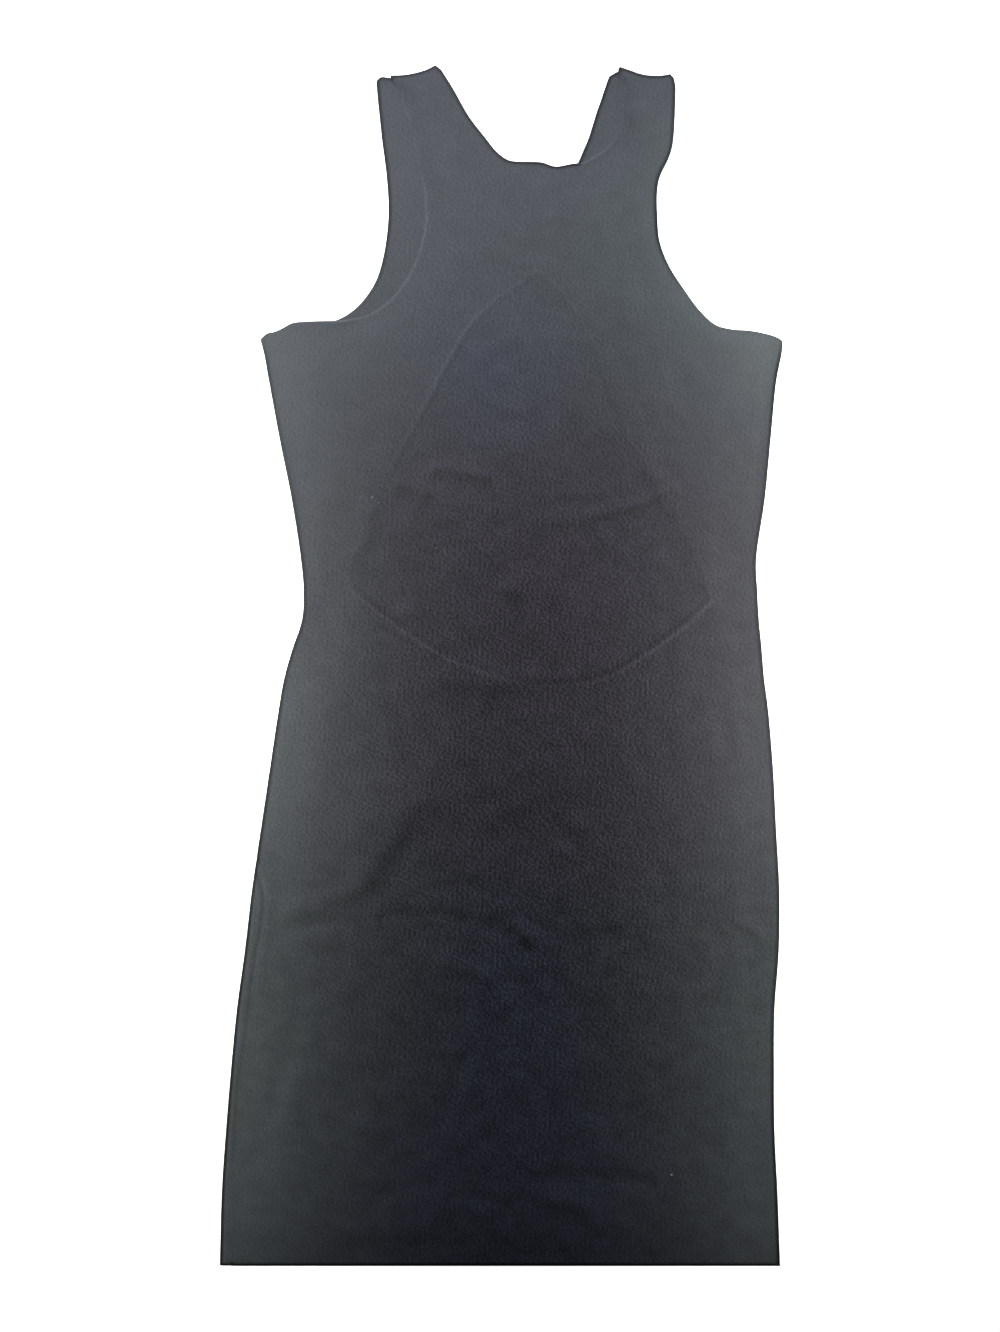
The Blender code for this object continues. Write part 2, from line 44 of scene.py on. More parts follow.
# Sizes and tables are in millimetres: x across from the middle, up from the hem.
dress = {
    "length": 924.0,
    "middle": 0.15,  # x of the middle of the widest part
    "armMiddle": 15,  # x of the middle between the underarms
    "wall": 1.5,  # one layer of crepe
    "seamGap": 0.35,
    "turnRise": 0.7,  # turned edges at neck, armholes and keyhole are thicker
    "turnFade": (2.0, 18.0),  # they fade out between these distances from the edge
    "rimFade": 20.0,  # and over this width inside the keyhole, under the front
    "seamRise": 0.6,  # side seam allowances
    "seamFade": (5.0, 14.0),
    "sinkWidth": 68.0,  # the front sinks into the keyhole over this width
    "sinkShare": 0.8,
    "ridge": (0.36, 1.7),  # the keyhole's edge showing through: height, half width
    "groove": (0.26, 2.0, 4.3),  # and the groove inside it, with how far in
    "loft": 1.5,  # air between the layers
    "holeCrease": (4, 26),  # the back's folds come up over these distances from the keyhole
    "edgeCrease": (3, 26),  # and from its outer edge
    "edgeRadius": 1.7,
    "frontStep": 2.2,  # between the points of the front's outline and the keyhole's
    "backStep": 2.4,
}

# up, x of the left side seam, x of the right side seam
sideSeams = [
    (0, -216.6, 214.8), (58, -215, 212.7), (104, -211.9, 210.5), (150, -208.1, 210.1),
    (197, -203.5, 210.5), (243, -197.3, 213.8), (289, -191.9, 214.2), (335, -185, 211.8),
    (382, -178, 209.4), (428, -171.1, 205.6), (452, -166.9, 202.5), (475, -160.4, 200.6),
    (497, -153.2, 198.5), (520, -151.9, 197.2), (543, -153.9, 196.4), (590, -161.1, 203),
    (636, -170.3, 207.5), (682, -178.8, 212.1), (703, -182.6, 216.2), (711.5, -184.9, 216.9),
]
# up, how far the left seam has rolled in over the front
seamRoll = [
    (0, 9.2), (50, 8.4), (100, 7), (140, 6.4), (190, 8.6), (235, 8), (280, 9.8),
    (296, 5), (308, 1.2), (318, 0),
]
# The roll's section: places across are shares of its width, from the outline in.
roll = {
    "rise": 1.5,  # it stands this much above the back, level with the front
    "from": (1, 5),  # widths between which it comes up
    "outer": (0, 0.4),  # it rises here
    "inner": (1.1, 1.4),  # and runs out here, under the front
    "dip": (0.12, 0.2),  # the dip at that edge: share of the height, half width
}
frontEdges = {
    "leftArmhole": [
        (-184.9, 713.4), (-180, 717.6), (-174.5, 718.6), (-168, 721.6), (-161, 725.4),
        (-147, 726.8), (-120.2, 727.9), (-100, 733.4), (-82.5, 747), (-70, 765), (-61.5, 787),
        (-58.2, 807), (-59.5, 826), (-64.5, 848), (-69.5, 873), (-76.5, 897), (-85, 914.8),
    ],
    "leftShoulder": [(-85, 916), (-74.8, 916.4), (-65.5, 918), (-57, 920.6), (-50.5, 924)],
    "neck": [
        (90.2, 921.4), (89.6, 901.7), (89.3, 882.4), (86.6, 868), (80.2, 859.8), (70.9, 854),
        (62.8, 849.3), (54, 847.9), (42, 846.1), (31.5, 849.3), (18, 849.9), (6.2, 850.9),
        (-3, 857.2), (-12.3, 868.6), (-24.7, 884.7), (-37, 906.3), (-46, 920.6),
    ],
    "rightShoulder": [(91.5, 922.6), (99.4, 920), (109, 916.8), (122, 915.8), (130.3, 917.2)],
    "rightArmhole": [
        (216.9, 712), (211.5, 715), (204, 717.2), (192, 719.6), (176, 721), (165, 724.3),
        (152.3, 736), (140.6, 752), (129.4, 769.5), (122, 789), (120.4, 808), (120.2, 826),
        (122.3, 838), (128.5, 851), (131.6, 860), (133.2, 872), (134.2, 897.8), (134.4, 908),
        (133, 914.4),
    ],
}
backEdges = {
    "leftArmhole": [
        (-184.9, 711.8), (-165, 715.5), (-145, 722), (-124.1, 729.1), (-114.1, 735.3),
        (-105.6, 743.7), (-96, 759), (-90, 780), (-86.7, 809), (-88, 838), (-91.7, 867),
        (-94.8, 897), (-96, 911),
    ],
    "leftShoulder": [(-95.6, 912.6), (-92.5, 915.2), (-85, 914.6), (-72, 915), (-61, 917.6)],
    "neck": [
        (83.2, 915.6), (80, 906.6), (76.9, 897.2), (73.6, 887.9), (70.6, 878.2), (67.6, 868.6),
        (64, 860), (58, 847), (47, 833.5), (34, 828.4), (14.6, 829.6), (-6, 840), (-22, 860),
        (-37, 884), (-50, 906), (-57, 917.4),
    ],
    "rightShoulder": [(84.5, 916.4), (91, 919.6), (101, 916.6), (118, 914)],
    "rightArmhole": [
        (216.9, 710.8), (194, 713.6), (168, 717.5), (150, 727), (134, 745), (121, 767),
        (112.5, 790), (109.5, 815), (112, 842), (119, 872), (122, 898), (121.5, 912.4),
    ],
}
keyhole = {
    "middle": (20, 600),
    "top": (27.7, 765.3),
    # up, x of the left edge, x of the right edge
    "sides": [
        (755.5, 12.5, 40.6), (743.7, -4.6, 51.2), (724.5, -23.9, 63.6), (702.9, -37.8, 73.8),
        (667, -57, 88), (639.7, -71.7, 98.9), (603.5, -90.9, 116.8), (558, -110.2, 143.8),
        (534, -118.6, 157.4),
    ],
    "foot": [
        (-117, 520), (-90.9, 499.4), (-64, 480.4), (-33.1, 463.2), (0.8, 451.6), (32, 446),
        (73.2, 449.3), (96, 459.6), (120, 475.4), (144, 493.6), (162.4, 511),
    ],
}

print("cutting the outlines")


def smoothPath(rows, step):
    # even points along a smooth curve through the rows
    knots = [np.array(row, float) for row in rows]
    knots = [2 * knots[0] - knots[1]] + knots + [2 * knots[-1] - knots[-2]]
    run = []
    t = np.linspace(0, 1, 32, endpoint=False)[:, None]
    for a, b, c, d in zip(knots, knots[1:], knots[2:], knots[3:]):
        ab, bc, cd = (max(np.linalg.norm(q - p) ** 0.5, 1e-6) for p, q in ((a, b), (b, c), (c, d)))
        leave = bc * ((b - a) / ab - (c - a) / (ab + bc) + (c - b) / bc)
        arrive = bc * ((c - b) / bc - (d - b) / (bc + cd) + (d - c) / cd)
        run.append(
            (2 * t**3 - 3 * t**2 + 1) * b + (t**3 - 2 * t**2 + t) * leave
            + (3 * t**2 - 2 * t**3) * c + (t**3 - t**2) * arrive
        )
    run = np.vstack(run + [knots[-2][None]])
    length = np.concatenate([[0], np.cumsum(np.linalg.norm(np.diff(run, axis=0), axis=1))])
    even = np.linspace(0, length[-1], max(2, round(length[-1] / step) + 1))
    return np.stack([np.interp(even, length, run[:, k]) for k in (0, 1)], axis=1)


def closeLoop(*runs, apart=0.6):
    # joins runs into a loop without points on top of each other
    loop = []
    for run in runs:
        for point in run:
            if not loop or np.linalg.norm(point - loop[-1]) > apart:
                loop.append(point)
    while np.linalg.norm(loop[0] - loop[-1]) < apart:
        loop.pop()
    return np.array(loop)


def sideRun(column, step):
    return smoothPath([(row[column], row[0]) for row in sideSeams], step)


def rollWidth(up):
    widths = smoothPath(seamRoll, 3.0)
    return np.interp(up, widths[:, 0], np.maximum(widths[:, 1], 0))


def rolledShare(up):
    return ease(rollWidth(up), *roll["from"])


def rolledRun(step):
    # the front's left edge, which lies in from the outline where the seam rolls
    run = sideRun(1, step)
    run[:, 0] += rollWidth(run[:, 1])
    return run


def panelLoop(leftSide, edges, step):
    # round the panel from the hem's left end, and which way each edge's table runs
    left, right = leftSide[0, 0], sideSeams[0][2]
    across = np.linspace(left, right, round((right - left) / step) + 1)
    hem = np.stack([across, np.zeros(len(across))], axis=1)
    ways = {"rightArmhole": 1, "rightShoulder": -1, "neck": 1, "leftShoulder": -1, "leftArmhole": -1}
    upper = [smoothPath(edges[edge][::way], step) for edge, way in ways.items()]
    return closeLoop(hem, sideRun(2, step), *upper, leftSide[::-1])


def keyholeLoop(step):
    left = [(row[1], row[0]) for row in keyhole["sides"]]
    right = [(row[2], row[0]) for row in keyhole["sides"]]
    around = smoothPath(left[::-1] + [keyhole["top"]] + right, step)
    return closeLoop(around, smoothPath(keyhole["foot"], step)[::-1])


def nearestPoints(cloud, points):
    # index of the nearest point of the cloud, and its distance
    tree = kdtree.KDTree(len(cloud))
    for i, (x, y) in enumerate(cloud):
        tree.insert((x, y, 0), i)
    tree.balance()
    found = [tree.find((x, y, 0)) for x, y in points]
    return np.array([f[1] for f in found], int), np.array([f[2] for f in found], float)


def nearestOn(path, points, closed=True):
    # distance to a path, and how far along it that is, from 0 to 1
    if not len(points):
        return np.zeros(0), np.zeros(0)
    count = len(path)
    hit, _ = nearestPoints(path, points)
    away, along = np.full(len(points), 1e9), np.zeros(len(points))
    for shift in (-1, 0):
        i = (hit + shift) % count if closed else np.clip(hit + shift, 0, count - 2)
        a, b = path[i], path[(i + 1) % count]
        span = b - a
        t = np.clip(((points - a) * span).sum(1) / np.maximum((span**2).sum(1), 1e-9), 0, 1)
        gap = np.linalg.norm(points - a - t[:, None] * span, axis=1)
        nearer = gap < away
        away = np.where(nearer, gap, away)
        along = np.where(nearer, (i + t) / (count if closed else count - 1), along)
    return away, along


def heldBy(loop, points):
    held = np.zeros(len(points), bool)
    x, y = points.T
    for a, b in zip(loop, np.roll(loop, -1, axis=0)):
        if a[1] != b[1]:
            crosses = (a[1] > y) != (b[1] > y)
            held ^= crosses & (x < a[0] + (y - a[1]) * (b[0] - a[0]) / (b[1] - a[1]))
    return held


def leftOf(ahead):
    # a millimetre to the left hand of each direction
    ahead = ahead / np.maximum(np.linalg.norm(ahead, axis=1), 1e-6)[:, None]
    return np.stack([-ahead[:, 1], ahead[:, 0]], axis=1)


def stepIn(loop, by):
    # the loop moved to its left hand, which is inwards on a panel
    ahead = np.roll(loop, -1, axis=0) - loop
    ahead /= np.linalg.norm(ahead, axis=1)[:, None]
    return loop + by * leftOf(ahead + np.roll(ahead, 1, axis=0))


def ease(x, start, end):
    t = np.clip((x - start) / (end - start), 0, 1)
    return t * t * (3 - 2 * t)


def bell(away, inside, wide):
    return np.exp(-(((away - inside) / wide) ** 2))


frontStep, backStep = dress["frontStep"], dress["backStep"]
frontLoop = panelLoop(rolledRun(frontStep), frontEdges, frontStep)
backLoop = panelLoop(sideRun(1, backStep), backEdges, backStep)
holeLoop = keyholeLoop(frontStep)
leftSeam, rightSeam = sideRun(1, backStep), sideRun(2, backStep)


def outerLine(step):
    # the edge of the whole dress: each panel's edge where the other doesn't reach past it
    upper = panelLoop(rolledRun(step), frontEdges, step)
    lower = panelLoop(sideRun(1, step), backEdges, step)
    return np.vstack([
        line[~heldBy(other, line) | (nearestOn(other, line)[0] <= step)]
        for line, other in ((upper, lower), (lower, upper))
    ])


dressEdge = outerLine(0.7)

# Folds of the front: x and up at the start, middle and end, half width, height.
frontFolds = [
    # left hip
    (-44, 358, -57, 358, -70, 364, 6, 1.6), (-66, 367, -86, 323, -114, 291, 10.5, 2.1),
    (-80, 377, -99, 331, -128, 299, 20, 1.6), (-100, 301, -130, 281, -176, 271, 7.5, 1.6),
    # the line across the lap
    (-168, 257, -135, 263, -90, 266, 4, -0.7), (-97, 265, -52, 266, -10, 261, 5.6, -3.6),
    (-20, 263, -1, 258, 13, 250, 4.5, -2.3), (61, 263, 92, 264, 124, 265, 5, 0.75),
    (114, 257, 142, 256, 172, 259, 4.5, -0.45), (174, 265, 191, 261, 203, 250, 4, 1),
    # the pucker in its middle
    (10, 261, 20, 255, 29, 249, 6.5, 5), (26, 278, 19, 266, 12, 257, 4.5, 1.45),
    (23, 239, 20, 229, 16, 215, 5, 0.95), (28, 261, 41, 254, 46, 243, 4, -0.6),
    # above it
    (-17, 333, 6, 352, 34, 351, 6, 0.8), (44, 348, 74, 330, 95, 304, 6, 0.8),
    (38, 324, 50, 318, 61, 305, 4.5, 1.1), (-36, 298, -18, 289, 6, 281, 4.5, -0.8),
    # tummy
    (-50, 404, -35, 397, -16, 387, 6, 1), (-28, 381, -7, 372, 14, 359, 4, 0.4),
    # under the keyhole's foot
    (-56, 451, -25, 450, 8, 445, 8, 1.3), (15, 452, 37, 452, 61, 452, 5, 1.1),
    # waist and lower ribs
    (-57, 613, -33, 612, -4, 604, 5, 2), (-86, 600, -69, 599, -52, 589, 4.5, 1.9),
    (60, 576, 99, 584, 140, 602, 4.2, 1.75), (30, 575, 55, 572, 81, 566, 5, 1),
    (84, 597, 96, 605, 107, 616, 2.6, 0.7), (42, 594, 66, 593, 90, 594, 4, 0.45),
    (36, 612, 53, 615, 65, 603, 4, 0.5), (-132, 577, -118, 577, -105, 580, 3.5, -0.3),
    # inside and beside the keyhole
    (-4, 523, 9, 521, 24, 520, 8, 2.8), (-82, 509, -69, 503, -54, 502, 7, 2),
    (72, 507, 90, 501, 107, 506, 9, 0.35), (47, 455, 60, 461, 73, 468, 2.6, 0.7),
    (-98, 569, -104, 558, -112, 547, 3, 0.45),
    # chest
    (-66, 736, -46, 737, -28, 739, 8, 0.35), (-12, 711, 8, 711, 27, 712, 8, 1.1),
    (3, 694, -3, 677, -8, 658, 5, 0.75), (47, 706, 67, 711, 86, 701, 8, 0.4),
    (100, 671, 115, 664, 134, 662, 8, 0.45), (68, 643, 85, 635, 103, 627, 8, 0.4),
    (-27, 640, -4, 631, 15, 633, 9, 0.5), (-4, 658, 8, 658, 22, 653, 4, 0.8),
    (119, 711, 124, 692, 130, 673, 2.8, 0.25), (127, 676, 133, 661, 146, 645, 3, 0.4),
    # left side of the skirt
    (-151, 219, -162, 170, -177, 124, 9.5, -1), (-169, 146, -180, 107, -187, 76, 9, -0.8),
    (-140, 188, -153, 148, -166, 106, 8, 0.3),
    # lap and thigh
    (-56, 235, -26, 229, -3, 218, 7, 2.4), (-4, 213, 3, 206, 8, 195, 5, 1.75),
    (-33, 139, -24, 138, -14, 137, 7, 2.3), (-42, 166, -34, 164, -26, 159, 6, 1.5),
    (-116, 115, -97, 106, -73, 104, 11, 1.1), (-50, 102, -33, 95, -14, 99, 9, 1.75),
    # above the hem
    (-100, 51, -71, 61, -41, 59, 5, -0.65), (-44, 57, -20, 53, 4, 47, 5, -0.7),
    (15, 66, 69, 67, 122, 65, 6.5, -2), (117, 65, 148, 62, 174, 59, 6, -0.42),
    (34, 50, 63, 45, 78, 21, 7, 1.6), (43, 30, 64, 21, 85, 15, 7, 0.5),
    (-135, 22, -96, 29, -55, 25, 12, 1), (-12, 21, 26, 27, 72, 11, 11, 1.2),
    # right hip, straps and underarms
    (175, 437, 180, 411, 185, 381, 6, 0.75), (-59, 898, -54, 879, -47, 859, 9, -0.8),
    (96, 892, 105, 884, 115, 876, 9, 1.9), (-168, 704, -146, 688, -126, 665, 13, 1.1),
    (197, 704, 176, 685, 158, 657, 13, 0.5),
]
# Pressed lines, from the way the dress was folded: the same columns.
pressLines = [
    (17, 608, 15, 530, 16, 450, 2.3, -0.85), (21, 600, 19, 530, 20, 470, 1.8, 0.4),
    (16, 360, 15, 325, 15, 290, 2.2, -0.35), (15, 208, 14, 165, 14, 118, 4.5, -0.5),
    (15, 120, 15, 60, 16, 6, 2.2, -0.35),
]
# How clearly the keyhole's edge shows through, in its ridge and groove and in their painted highlight
# and shade: degrees round its middle, share of ridge and groove.
ridgeShow = [
    (0, 0, 0.2), (6, 0, 0.3), (34, 0, 0.35), (58, 0.05, 0.25), (72, 0.2, 0.1), (83, 0.3, 0.15),
    (90, 0.3, 0.2), (98, 0.4, 0.4), (107, 0.55, 0.5), (121, 0.65, 0.6), (144, 0.65, 0.5),
    (159, 0.4, 0.35), (178, 0.1, 0.35), (198, 0.2, 0.15), (207, 0.3, 0.35), (218, 0.5, 1),
    (235, 0.9, 0.5), (249, 1, 0.2), (262, 0.8, 0.15), (270, 0.3, 0.7), (281, 0.4, 0.9),
    (289, 0.5, 1), (298, 0.7, 1), (309, 1.1, 1), (320, 1.1, 0.9), (328, 0.7, 0.5),
    (334, 0.15, 0.2), (341, 0, 0.3), (360, 0, 0.2),
]
# How dark the painted shade along the outer edge is: up, left, right.
edgeShow = [
    (0, 0.97, 0.98), (60, 0.97, 0.88), (120, 0.95, 0.88), (200, 0.93, 0.75), (300, 0.85, 0.62),
    (400, 0.72, 0.56), (550, 0.62, 0.55), (620, 0.45, 0.6), (690, 0.55, 0.85), (711, 0.5, 0.6),
    (750, 0.36, 0.38), (800, 0.6, 0.86), (860, 0.57, 0.66),
]
# How mottled the dye is: up, share.
mottleShow = [(130, 1), (240, 1.15), (360, 0.62), (545, 0.7), (667, 0.36), (780, 0.3)]
# Patches of warmer or cooler tint: x, up, half width, half height, share of warm and of cool.
tintPatches = [(10, 70, 90, 190, 0, 1), (-4, 688, 42, 46, 0.5, 0.6), (8, 215, 46, 75, 0.6, 0.6)]
# Folds of the back, which the front hides: the same columns.
backFolds = [
    # seat and hips
    (-58, 397, 4, 404, 57, 391, 9, 0.7), (-148, 296, -104, 318, -46, 324, 8, 0.7),
    (66, 334, 104, 306, 158, 291, 9, 0.8),
    # across the lap and thigh
    (-118, 268, -8, 262, 112, 267, 6, 0.8), (-36, 188, 14, 203, 72, 214, 8, 0.7),
    (-92, 214, -66, 196, -52, 168, 7, 0.5), (74, 121, 108, 106, 152, 109, 10, 0.7),
    # above the hem
    (-112, 54, -16, 62, 88, 56, 7, 0.6),
    # underarms, yoke and the press down the middle
    (-148, 664, -128, 640, -118, 606, 7, 0.6), (176, 654, 150, 633, 138, 598, 7, 0.55),
    (-48, 798, 12, 806, 76, 797, 8, 0.5), (15, 392, 15, 236, 15, 34, 2.4, 0.35),
]


folding = {
    "step": 1.5,  # between the points along a fold
    "reach": 3.2,  # in half widths
    "tail": (1.6, 0.45),  # tapers over so many half widths, at most this share of its length
    "narrow": 7,  # narrower folds get lines of mesh points
    "lines": (0, -0.55, 0.55, -1.1, 1.1),  # at these half widths across
    "lineMargin": 2.0,
    "lineClear": (1.0, 0.14),  # points apart by this plus this share of the half width
}


def foldPath(row):
    a, m, b = (np.array(row[k:k + 2], float) for k in (0, 2, 4))
    pull = 2 * m - (a + b) / 2
    steps = max(4, int((np.linalg.norm(m - a) + np.linalg.norm(b - m)) / folding["step"]))
    t = np.linspace(0, 1, steps)[:, None]
    return (1 - t) ** 2 * a + 2 * t * (1 - t) * pull + t**2 * b


def foldHeight(points, rows):
    total = np.zeros(len(points))
    tailWidths, longest = folding["tail"]
    for row in rows:
        path, (width, height) = foldPath(row), row[6:]
        reach = folding["reach"] * width
        near = ((points > path.min(0) - reach) & (points < path.max(0) + reach)).all(1)
        away, along = nearestOn(path, points[near], closed=False)
        length = np.linalg.norm(np.diff(path, axis=0), axis=1).sum()
        tail = min(longest, tailWidths * width / length)
        taper = ease(along, 0, tail) * ease(1 - along, 0, tail)
        total[near] += height * taper * bell(away, 0, width)
    return total


def creaseRows(rows):
    # mesh points along the narrower folds
    lines = []
    apart, more = folding["lineClear"]
    for row in rows:
        path, width = foldPath(row), row[6]
        if width < folding["narrow"]:
            across = leftOf(np.gradient(path, axis=0)) * width
            for share in folding["lines"]:
                lines.append((path + across * share, folding["lineMargin"], apart + more * width))
    return lines


def cockle(points, seed, amount, shortest, longest, waves, steep=0.8):
    # soft uneven ground of many crossing waves, the short ones lower
    dice = np.random.default_rng(seed)
    total = np.zeros(len(points))
    for _ in range(waves):
        span = shortest * (longest / shortest) ** dice.random()
        turn, shift = dice.random(2) * 2 * math.pi
        along = points[:, 0] * math.cos(turn) + points[:, 1] * math.sin(turn)
        total += (span / longest) ** steep * np.sin(along * 2 * math.pi / span + shift)
    return amount * total / math.sqrt(waves / 2)


def seamDistance(points):
    left, _ = nearestOn(leftSeam, points, closed=False)
    right, _ = nearestOn(rightSeam, points, closed=False)
    return left, np.minimum(left, right)


def rollHeight(points):
    # the rolled left seam, which runs on a little under the front's edge
    width = rollWidth(points[:, 1])
    across = np.clip(seamDistance(points)[0] / np.maximum(width, 1e-3), 0, 2)
    depth, wide = roll["dip"]
    height = roll["rise"] * (1 - depth * bell(across, 1, wide)) * ease(across, *roll["outer"])
    return height * (1 - ease(across, *roll["inner"])) * ease(width, *roll["from"])


def backRise(points):
    # turned edges and seam allowances thicken the back, and the rolled seam bulges
    toHole, _ = nearestOn(holeLoop, points)
    toEdge, _ = nearestOn(backLoop, points)
    _, toSeam = seamDistance(points)
    turned = dress["turnRise"] * (1 - ease(np.minimum(toHole, toEdge), *dress["turnFade"]))
    seamed = dress["seamRise"] * (1 - ease(toSeam, *dress["seamFade"]))
    return np.maximum(seamed, turned) + rollHeight(points)


def holeShow(points):
    x, up = (points - keyhole["middle"]).T
    turn = np.degrees(np.arctan2(up, x)) % 360
    turns, *shares = zip(*ridgeShow)
    return [np.interp(turn, turns, share) for share in shares]


def rimShape(points, inward):
    # ridge and groove where the front lies over the keyhole's edge
    (ridge, wide), (groove, broad, inside) = dress["ridge"], dress["groove"]
    bright, dark = holeShow(points)
    return bright * ridge * bell(inward, 0, wide) - dark * groove * bell(inward, inside, broad)


def backCrease(points):
    # the back panel's own folds stand up from the floor, under the front
    lift = np.maximum(foldHeight(points, backFolds), 0)
    for loop, fade in ((holeLoop, "holeCrease"), (backLoop, "edgeCrease")):
        lift *= ease(nearestOn(loop, points)[0], *dress[fade])
    return np.where(insideOf([backLoop, holeLoop], points), lift, 0)


def bedHeight(points):
    # the lowest place for the front's underside
    toHole, _ = nearestOn(holeLoop, points)
    inHole = heldBy(holeLoop, points)
    over, rise = dress["wall"] + dress["seamGap"], dress["turnRise"]
    sunk = 1 - dress["sinkShare"] * ease(toHole, 0, dress["sinkWidth"])
    inside = over * sunk + rise * (1 - ease(toHole, 0, dress["rimFade"]))
    bed = np.where(inHole, inside, over + backRise(points))
    return bed + rimShape(points, np.where(inHole, toHole, -toHole))


print("laying the panels")


def spacedOut(kept, extra, clear):
    # adds the points that keep clear of those already there
    cells = {}
    for p in kept:
        cells.setdefault((int(p[0] // clear), int(p[1] // clear)), []).append(p)
    limit = clear * clear
    for p in extra:
        cx, cy = int(p[0] // clear), int(p[1] // clear)
        near = (q for i in (-1, 0, 1) for j in (-1, 0, 1) for q in cells.get((cx + i, cy + j), ()))
        if all((p[0] - q[0]) ** 2 + (p[1] - q[1]) ** 2 >= limit for q in near):
            kept.append(p)
            cells.setdefault((cx, cy), []).append(p)
    return kept


def evenField(spacing, margin, left=-226, width=450, clear=0.62):
    # rows of points in even triangles over the whole dress
    rowStep = spacing * math.sqrt(3) / 2
    columns, rows = int(width / spacing) + 1, int(dress["length"] / rowStep) + 1
    i, j = np.meshgrid(np.arange(columns), np.arange(rows))
    field = np.stack([(left + (i + (j % 2) / 2) * spacing).ravel(), (j * rowStep).ravel()], axis=1)
    return field, margin, spacing * clear


def edgeRows(loop, rings, way=1, clear=(0.05, 0.25), margin=0.8):
    # rings of points beside an edge, further apart the further in they lie
    return [(stepIn(loop, by * way), by * margin, clear[0] + clear[1] * by) for by in rings]


def insideOf(loops, points):
    # the first loop bounds the cloth, the others are holes in it
    held = heldBy(loops[0], points)
    for loop in loops[1:]:
        held &= ~heldBy(loop, points)
    return held


def panelMesh(loops, rows):
    # rows are points to lay on the cloth, how far off the edges, and how far apart
    tiny = 1e-5
    points = [tuple(p) for loop in loops for p in loop]
    for extra, margin, clear in rows:
        extra = extra[insideOf(loops, extra)]
        for loop in loops:
            extra = extra[nearestOn(loop, extra)[0] > margin]
        points = spacedOut(points, extra, clear)
    edges, start = [], 0
    for loop in loops:
        edges += [(start + i, start + (i + 1) % len(loop)) for i in range(len(loop))]
        start += len(loop)
    flat = [Vector((float(x), float(y))) for x, y in points]
    verts, _, faces, _, _, _ = delaunay_2d_cdt(flat, edges, [], 0, tiny)
    where, faces = np.array([tuple(v) for v in verts]), np.array(faces)
    faces = faces[insideOf(loops, where[faces].mean(axis=1))]
    a, b, c = (where[faces[:, k]] for k in range(3))
    area = (b[:, 0] - a[:, 0]) * (c[:, 1] - a[:, 1]) - (c[:, 0] - a[:, 0]) * (b[:, 1] - a[:, 1])
    faces = np.where((area < 0)[:, None], faces[:, ::-1], faces)
    return where, faces[np.abs(area) > tiny]


def placed(points, heights):
    # millimetres on the tables' grid to metres in the part's frame
    x, up = points.T
    return np.stack([x - dress["middle"], up - dress["length"] / 2, heights], axis=1) / 1000


def keepMarks(mesh, marks):
    for name, values in marks.items():
        attribute = mesh.attributes.new(name, "FLOAT", "POINT")
        attribute.data.foreach_set("value", values.astype(np.float32))


def addObject(name, data):
    made = bpy.data.objects.new(name, data)
    scene.collection.objects.link(made)
    return made


def clothWall(name, where, faces, low, high, marks):
    # closes a wall between two skins and keeps the marks as attributes of its points
    used = np.unique(faces)
    order = np.zeros(len(where), int)
    order[used] = np.arange(len(used))
    count, tris = len(used), order[faces]
    borders = {(int(t[k - 1]), int(t[k])) for t in tris for k in range(3)}
    rim = []
    for a, b in sorted(borders):
        if (b, a) not in borders:
            rim += [(a, b, b + count), (a, b + count, a + count)]
    skins = [placed(where[used], z[used]) for z in (low, high)]
    walls = np.vstack([tris[:, ::-1], tris + count, rim])
    mesh = bpy.data.meshes.new(name)
    mesh.from_pydata(np.vstack(skins).tolist(), [], walls.tolist())
    mesh.polygons.foreach_set("use_smooth", np.ones(len(mesh.polygons), bool))
    keepMarks(mesh, {mark: np.tile(values[used], 2) for mark, values in marks.items()})
    mesh.update()
    print("  ", name, len(mesh.polygons), "triangles")
    return addObject(name, mesh)


def edgeShape(away):
    # share of the full thickness near a rounded edge
    t = np.clip(away / dress["edgeRadius"], 0, 1)
    return np.sqrt(np.maximum(1 - (1 - t) ** 2, 0))


def toEdgeRun(edge, points):
    return nearestOn(smoothPath(frontEdges[edge], frontStep), points, closed=False)[0]


def toRolledRun(points):
    return nearestOn(rolledRun(backStep), points, closed=False)[0]


# Lines of painted highlight, and of painted shade below zero: share, how far in, half width. The pairs
# are the x or heights over which a line comes up.
paintedLines = {
    "hole": (1.0, 0.4, 1.25),
    "holeShade": (-0.55, 3.9, 1.7),
    "armhole": (1.0, 0.9, 1.0),
    "armholeShare": (0.95, 0.3),  # low down and high up
    "armholeUp": (805, 850),
    "armholeAcross": (-150, -120),
    "neck": (0.75, 1.1, 0.8),
    "neckShade": (-0.3, 3.6, 1.6),
    "neckAcross": (56, 66),
    "neckUp": (876, 862),
    "rollGroove": (-0.5, 0, 1.4),
    "grooveUp": (60, 100),
    "rollCrest": (0.35, 3.2, 1.8),
    "crestUp": (200, 250),
}


def paintedLine(name, away):
    share, inside, wide = paintedLines[name]
    return share * bell(away, inside, wide)


def seamTone(points):
    # painted shade along the rolled seam's groove and, higher up, a painted highlight beside it
    up, toRoll = points[:, 1], toRolledRun(points)
    groove = paintedLine("rollGroove", toRoll) * ease(up, *paintedLines["grooveUp"])
    crest = paintedLine("rollCrest", toRoll) * ease(up, *paintedLines["crestUp"])
    return (groove + crest) * rolledShare(up)


